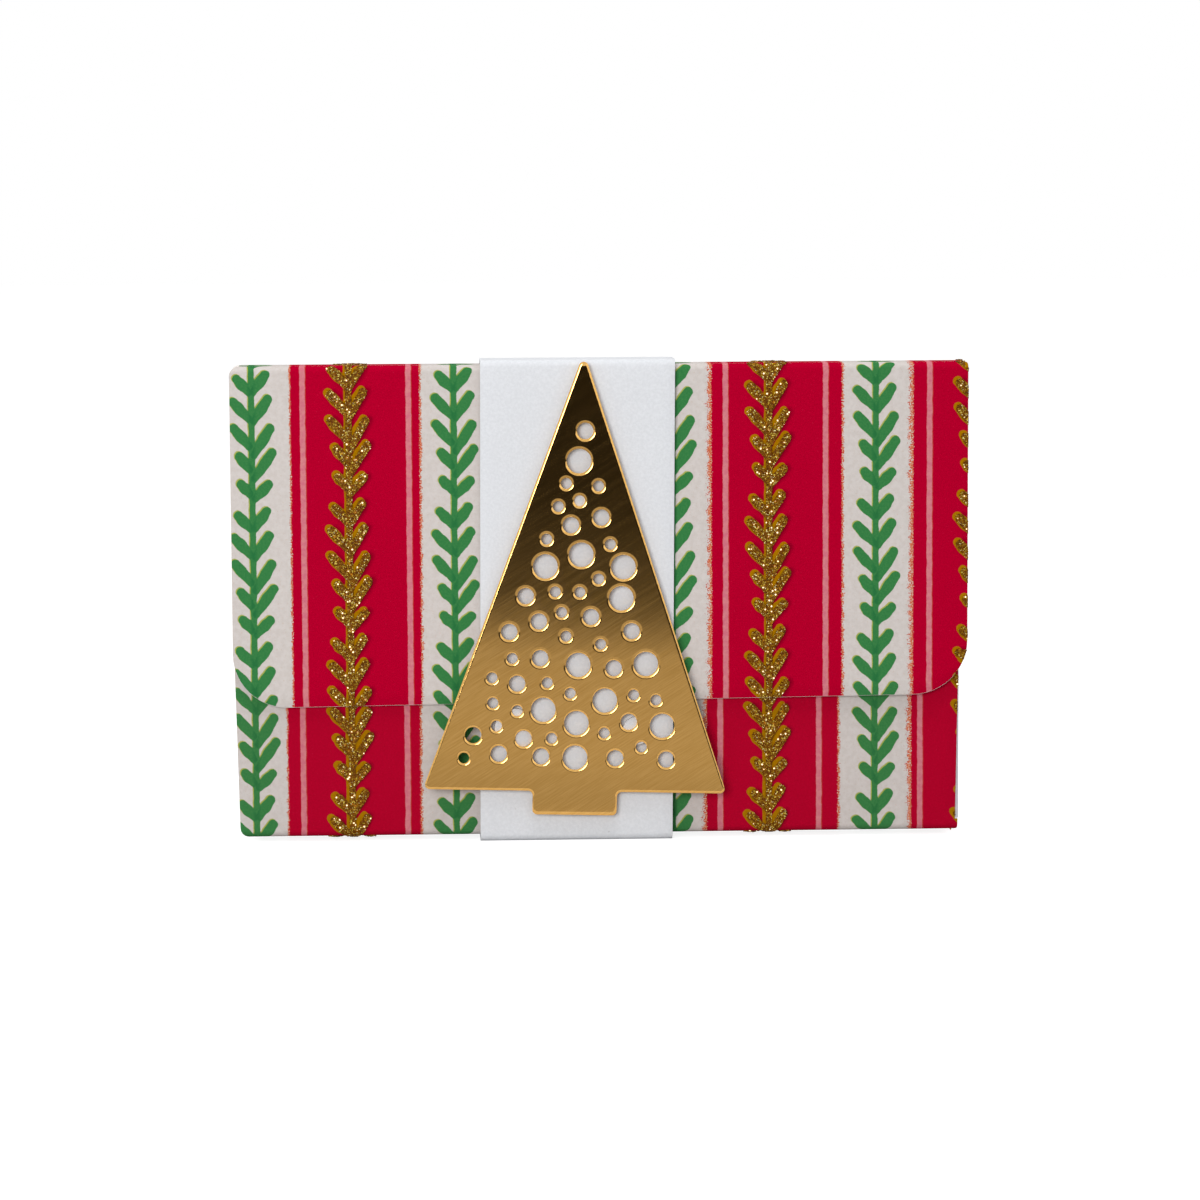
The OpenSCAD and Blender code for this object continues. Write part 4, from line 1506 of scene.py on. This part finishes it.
class HolderFoamPads(bpy.types.Operator):
    """Cut the foam pads that hold the tree off the band"""

    bl_idname = "holder.foam_pads"
    bl_label = "Cut the foam pads"

    def execute(self, context):
        foam = foam_material()
        # Each pad's share of its full radius, at which hardly a hole in the tree shows its edge
        pads = (("upper_foam_pad", 0.68), ("left_foam_pad", 0.95), ("right_foam_pad", 0.66))
        for node, share in pads:
            mesh = pad_mesh(node, share)
            mesh.materials.append(foam)
            piece = new_piece(node.replace("foam_pad", "adhesive_pad"), mesh)
            shade(piece, 40)
            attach(piece, "belly_band")
            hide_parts(node)
        return {"FINISHED"}


class HolderTree(bpy.types.Operator):
    """Stamp the perforated gold tree"""

    bl_idname = "holder.tree"
    bl_label = "Stamp the tree"

    def execute(self, context):
        look = settings().tree
        shares = (0.1, 0.22, 0.35, 0.5, 0.65, 0.8, 1.0, 1.18)
        rings = [share * look.rounding_width for share in shares]
        piece = new_piece("tree_plate", plate_mesh("tree_plate", rings))
        values = {
            "Thickness": look.thickness,
            "Rounding depth": look.rounding_depth,
            "Rounding width": look.rounding_width,
            "Waviness": look.waviness,
            "Finish": gold_material(look),
        }
        grow(piece, rounded_tree(), values)
        shade(piece, 55)
        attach(piece, "belly_band")
        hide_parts("tree_ornament")
        return {"FINISHED"}


def seen_directly(wiring):
    """1 for rays of the camera, of reflections and of clear materials, and otherwise 0."""
    path = wiring.add("ShaderNodeLightPath")
    names = ("Is Camera Ray", "Is Glossy Ray", "Is Transmission Ray")
    seen = path.outputs[names[0]]
    for name in names[1:]:
        seen = wiring.math("MAXIMUM", seen, path.outputs[name])
    return seen


def plane(name, corners, faces=((0, 1, 2, 3),)):
    mesh = bpy.data.meshes.new(name)
    mesh.from_pydata(corners, [], faces)
    piece = new_piece(name, mesh)
    return piece


class HolderStage(bpy.types.Operator):
    """Set up the camera, the lamps and the white floor"""

    bl_idname = "holder.stage"
    bl_label = "Set up the studio"

    def execute(self, context):
        stage = settings().stage
        scene = context.scene
        scene.view_settings.view_transform = "Standard"
        self.place_camera(scene, stage)
        self.lay_floor()
        self.light_world(scene, stage)
        self.stand_card()
        # Each lamp's name, power, place and size
        lamps = (
            ("key", stage.key, (-0.22, -0.62, 0.18), 0.26),
            ("top", stage.top, (0.0, -0.25, 0.85), 0.30),
            ("fill", stage.fill, (0.75, -0.75, 0.45), 0.60),
            ("left", stage.side, (-0.85, 0.25, 0.50), 0.30),
            ("right", stage.side, (0.85, 0.25, 0.50), 0.30),
        )
        for name, watts, place, size in lamps:
            lamp = bpy.data.lights.new(name, "AREA")
            lamp.energy = watts
            lamp.size = size
            holder = bpy.data.objects.new(name + "_lamp", lamp)
            scene.collection.objects.link(holder)
            holder.location = place
            aim = Vector((0, 0, 0.035)) - Vector(place)
            holder.rotation_euler = aim.to_track_quat("-Z", "Y").to_euler()
        return {"FINISHED"}

    def place_camera(self, scene, stage):
        camera = bpy.data.cameras.new("camera")
        camera.lens = stage.lens
        camera.sensor_width = 36
        holder = bpy.data.objects.new("camera", camera)
        scene.collection.objects.link(holder)
        scene.camera = holder
        yaw, pitch, roll = stage.yaw, stage.pitch, stage.roll
        forward = Vector(
            (math.sin(yaw) * math.cos(pitch), math.cos(yaw) * math.cos(pitch), -math.sin(pitch))
        )
        right = Vector((math.cos(yaw), -math.sin(yaw), 0))
        up = right.cross(forward)
        leant_right = math.cos(roll) * right + math.sin(roll) * up
        leant_up = math.cos(roll) * up - math.sin(roll) * right
        axes = Matrix((leant_right, leant_up, -forward)).transposed().to_4x4()
        holder.matrix_world = Matrix.Translation(Vector(stage.camera_place)) @ axes

    def lay_floor(self):
        reach = 3.0
        floor = plane(
            "floor", [(-reach, -reach, 0), (reach, -reach, 0), (reach, reach, 0), (-reach, reach, 0)]
        )
        made, w, shader = material("floor_white")
        output = made.node_tree.nodes["Material Output"]
        diffuse = w.add("ShaderNodeBsdfDiffuse", {"Color": (0.45, 0.45, 0.45, 1)})
        # The glow that every direct ray sees, and what the camera sees on top of it
        seen_glow, camera_glow = 0.5, 0.35
        camera_ray = w.add("ShaderNodeLightPath").outputs["Is Camera Ray"]
        on_top = w.math("MULTIPLY", camera_ray, camera_glow)
        strength = w.math("MULTIPLY_ADD", seen_directly(w), seen_glow, on_top)
        glow = w.add("ShaderNodeEmission", {"Strength": strength})
        total = w.add("ShaderNodeAddShader", {0: diffuse.outputs[0], 1: glow.outputs[0]})
        w.feed(output.inputs["Surface"], total.outputs[0])
        made.node_tree.nodes.remove(shader)
        floor.data.materials.append(made)

    def light_world(self, scene, stage):
        world = bpy.data.worlds.new("studio")
        world.use_nodes = True
        scene.world = world
        w = Wiring(world.node_tree)
        sky = world.node_tree.nodes["Background"]
        sky.inputs["Color"].default_value = (1, 1, 1, 1)
        share = seen_directly(w)
        strength = w.math("ADD", w.math("MULTIPLY", share, 1.0 - stage.sky), stage.sky)
        w.feed(sky.inputs["Strength"], strength)

    def stand_card(self):
        """A dark card in front of the holder, which only shows in polished surfaces. It lies near
        the floor from its start to a slanting fold, and from there rises to its far end."""
        start, fold, far = -0.026, -0.25, -0.62
        low, height, half, slant = 0.001, 0.10, 0.35, 0.4
        card = plane(
            "dark_card",
            [
                (-half, start, low),
                (half, start, low),
                (half, fold + slant * half, low),
                (-half, fold - slant * half, low),
                (half, far + slant * half, height),
                (-half, far - slant * half, height),
            ],
            [(0, 1, 2, 3), (3, 2, 4, 5)],
        )
        made, w, shader = material("dark_card")
        output = made.node_tree.nodes["Material Output"]
        across, back, _ = w.split(w.add("ShaderNodeTexCoord").outputs["Object"])
        depth = w.math("MULTIPLY_ADD", across, -slant, back)
        tone = w.add("ShaderNodeValToRGB", {0: w.ramp_line(depth, far, start)})
        ramp = tone.color_ramp
        # Distances in front of the holder, and the card's brightness there
        steps = (
            (-0.40, 0.022),
            (-0.332, 0.033),
            (-0.274, 0.11),
            (-0.240, 0.54),
            (-0.09, 0.60),
            (-0.045, 0.53),
        )
        for _ in steps[2:]:
            ramp.elements.new(1.0)
        for element, (at, level) in zip(ramp.elements, steps):
            element.position = (at - far) / (start - far)
            element.color = (level, level * 0.97, level * 0.92, 1)
        glow = w.add("ShaderNodeEmission", {"Color": tone.outputs[0]})
        w.feed(output.inputs["Surface"], glow.outputs[0])
        made.node_tree.nodes.remove(shader)
        card.data.materials.append(made)
        card.visible_camera = False
        card.visible_diffuse = False
        card.visible_shadow = False
        card.visible_transmission = False


class HolderPanel(bpy.types.Panel):
    """The steps that make the card holder"""

    bl_idname = "VIEW3D_PT_card_holder"
    bl_label = "Card holder"
    bl_space_type = "VIEW_3D"
    bl_region_type = "UI"
    bl_category = "Card holder"

    def draw(self, context):
        for step in STEPS:
            self.layout.operator(step.bl_idname)


class HolderSettings(bpy.types.PropertyGroup):
    """All settings of the card holder."""

    card: PointerProperty(type=PrintSettings)
    glitter: PointerProperty(type=GlitterSettings)
    band: PointerProperty(type=BandSettings)
    tree: PointerProperty(type=TreeSettings)
    stage: PointerProperty(type=StageSettings)


STEPS = (
    HolderStage,
    HolderFoldCard,
    HolderPlainCard,
    HolderGlitter,
    HolderBellyBand,
    HolderFoamPads,
    HolderTree,
)
GROUPS = (PrintSettings, GlitterSettings, BandSettings, TreeSettings, StageSettings)
CLASSES = (*GROUPS, HolderSettings, *STEPS, HolderPanel)


def register():
    for item in CLASSES:
        bpy.utils.register_class(item)
    bpy.types.Scene.card_holder = PointerProperty(type=HolderSettings)


def unregister():
    del bpy.types.Scene.card_holder
    for item in reversed(CLASSES):
        bpy.utils.unregister_class(item)


def main():
    register()
    bpy.ops.holder.stage()
    bpy.ops.holder.fold_card()
    bpy.ops.holder.plain_card()
    bpy.ops.holder.glitter()
    bpy.ops.holder.belly_band()
    bpy.ops.holder.foam_pads()
    bpy.ops.holder.tree()


if __name__ == "__main__":
    main()
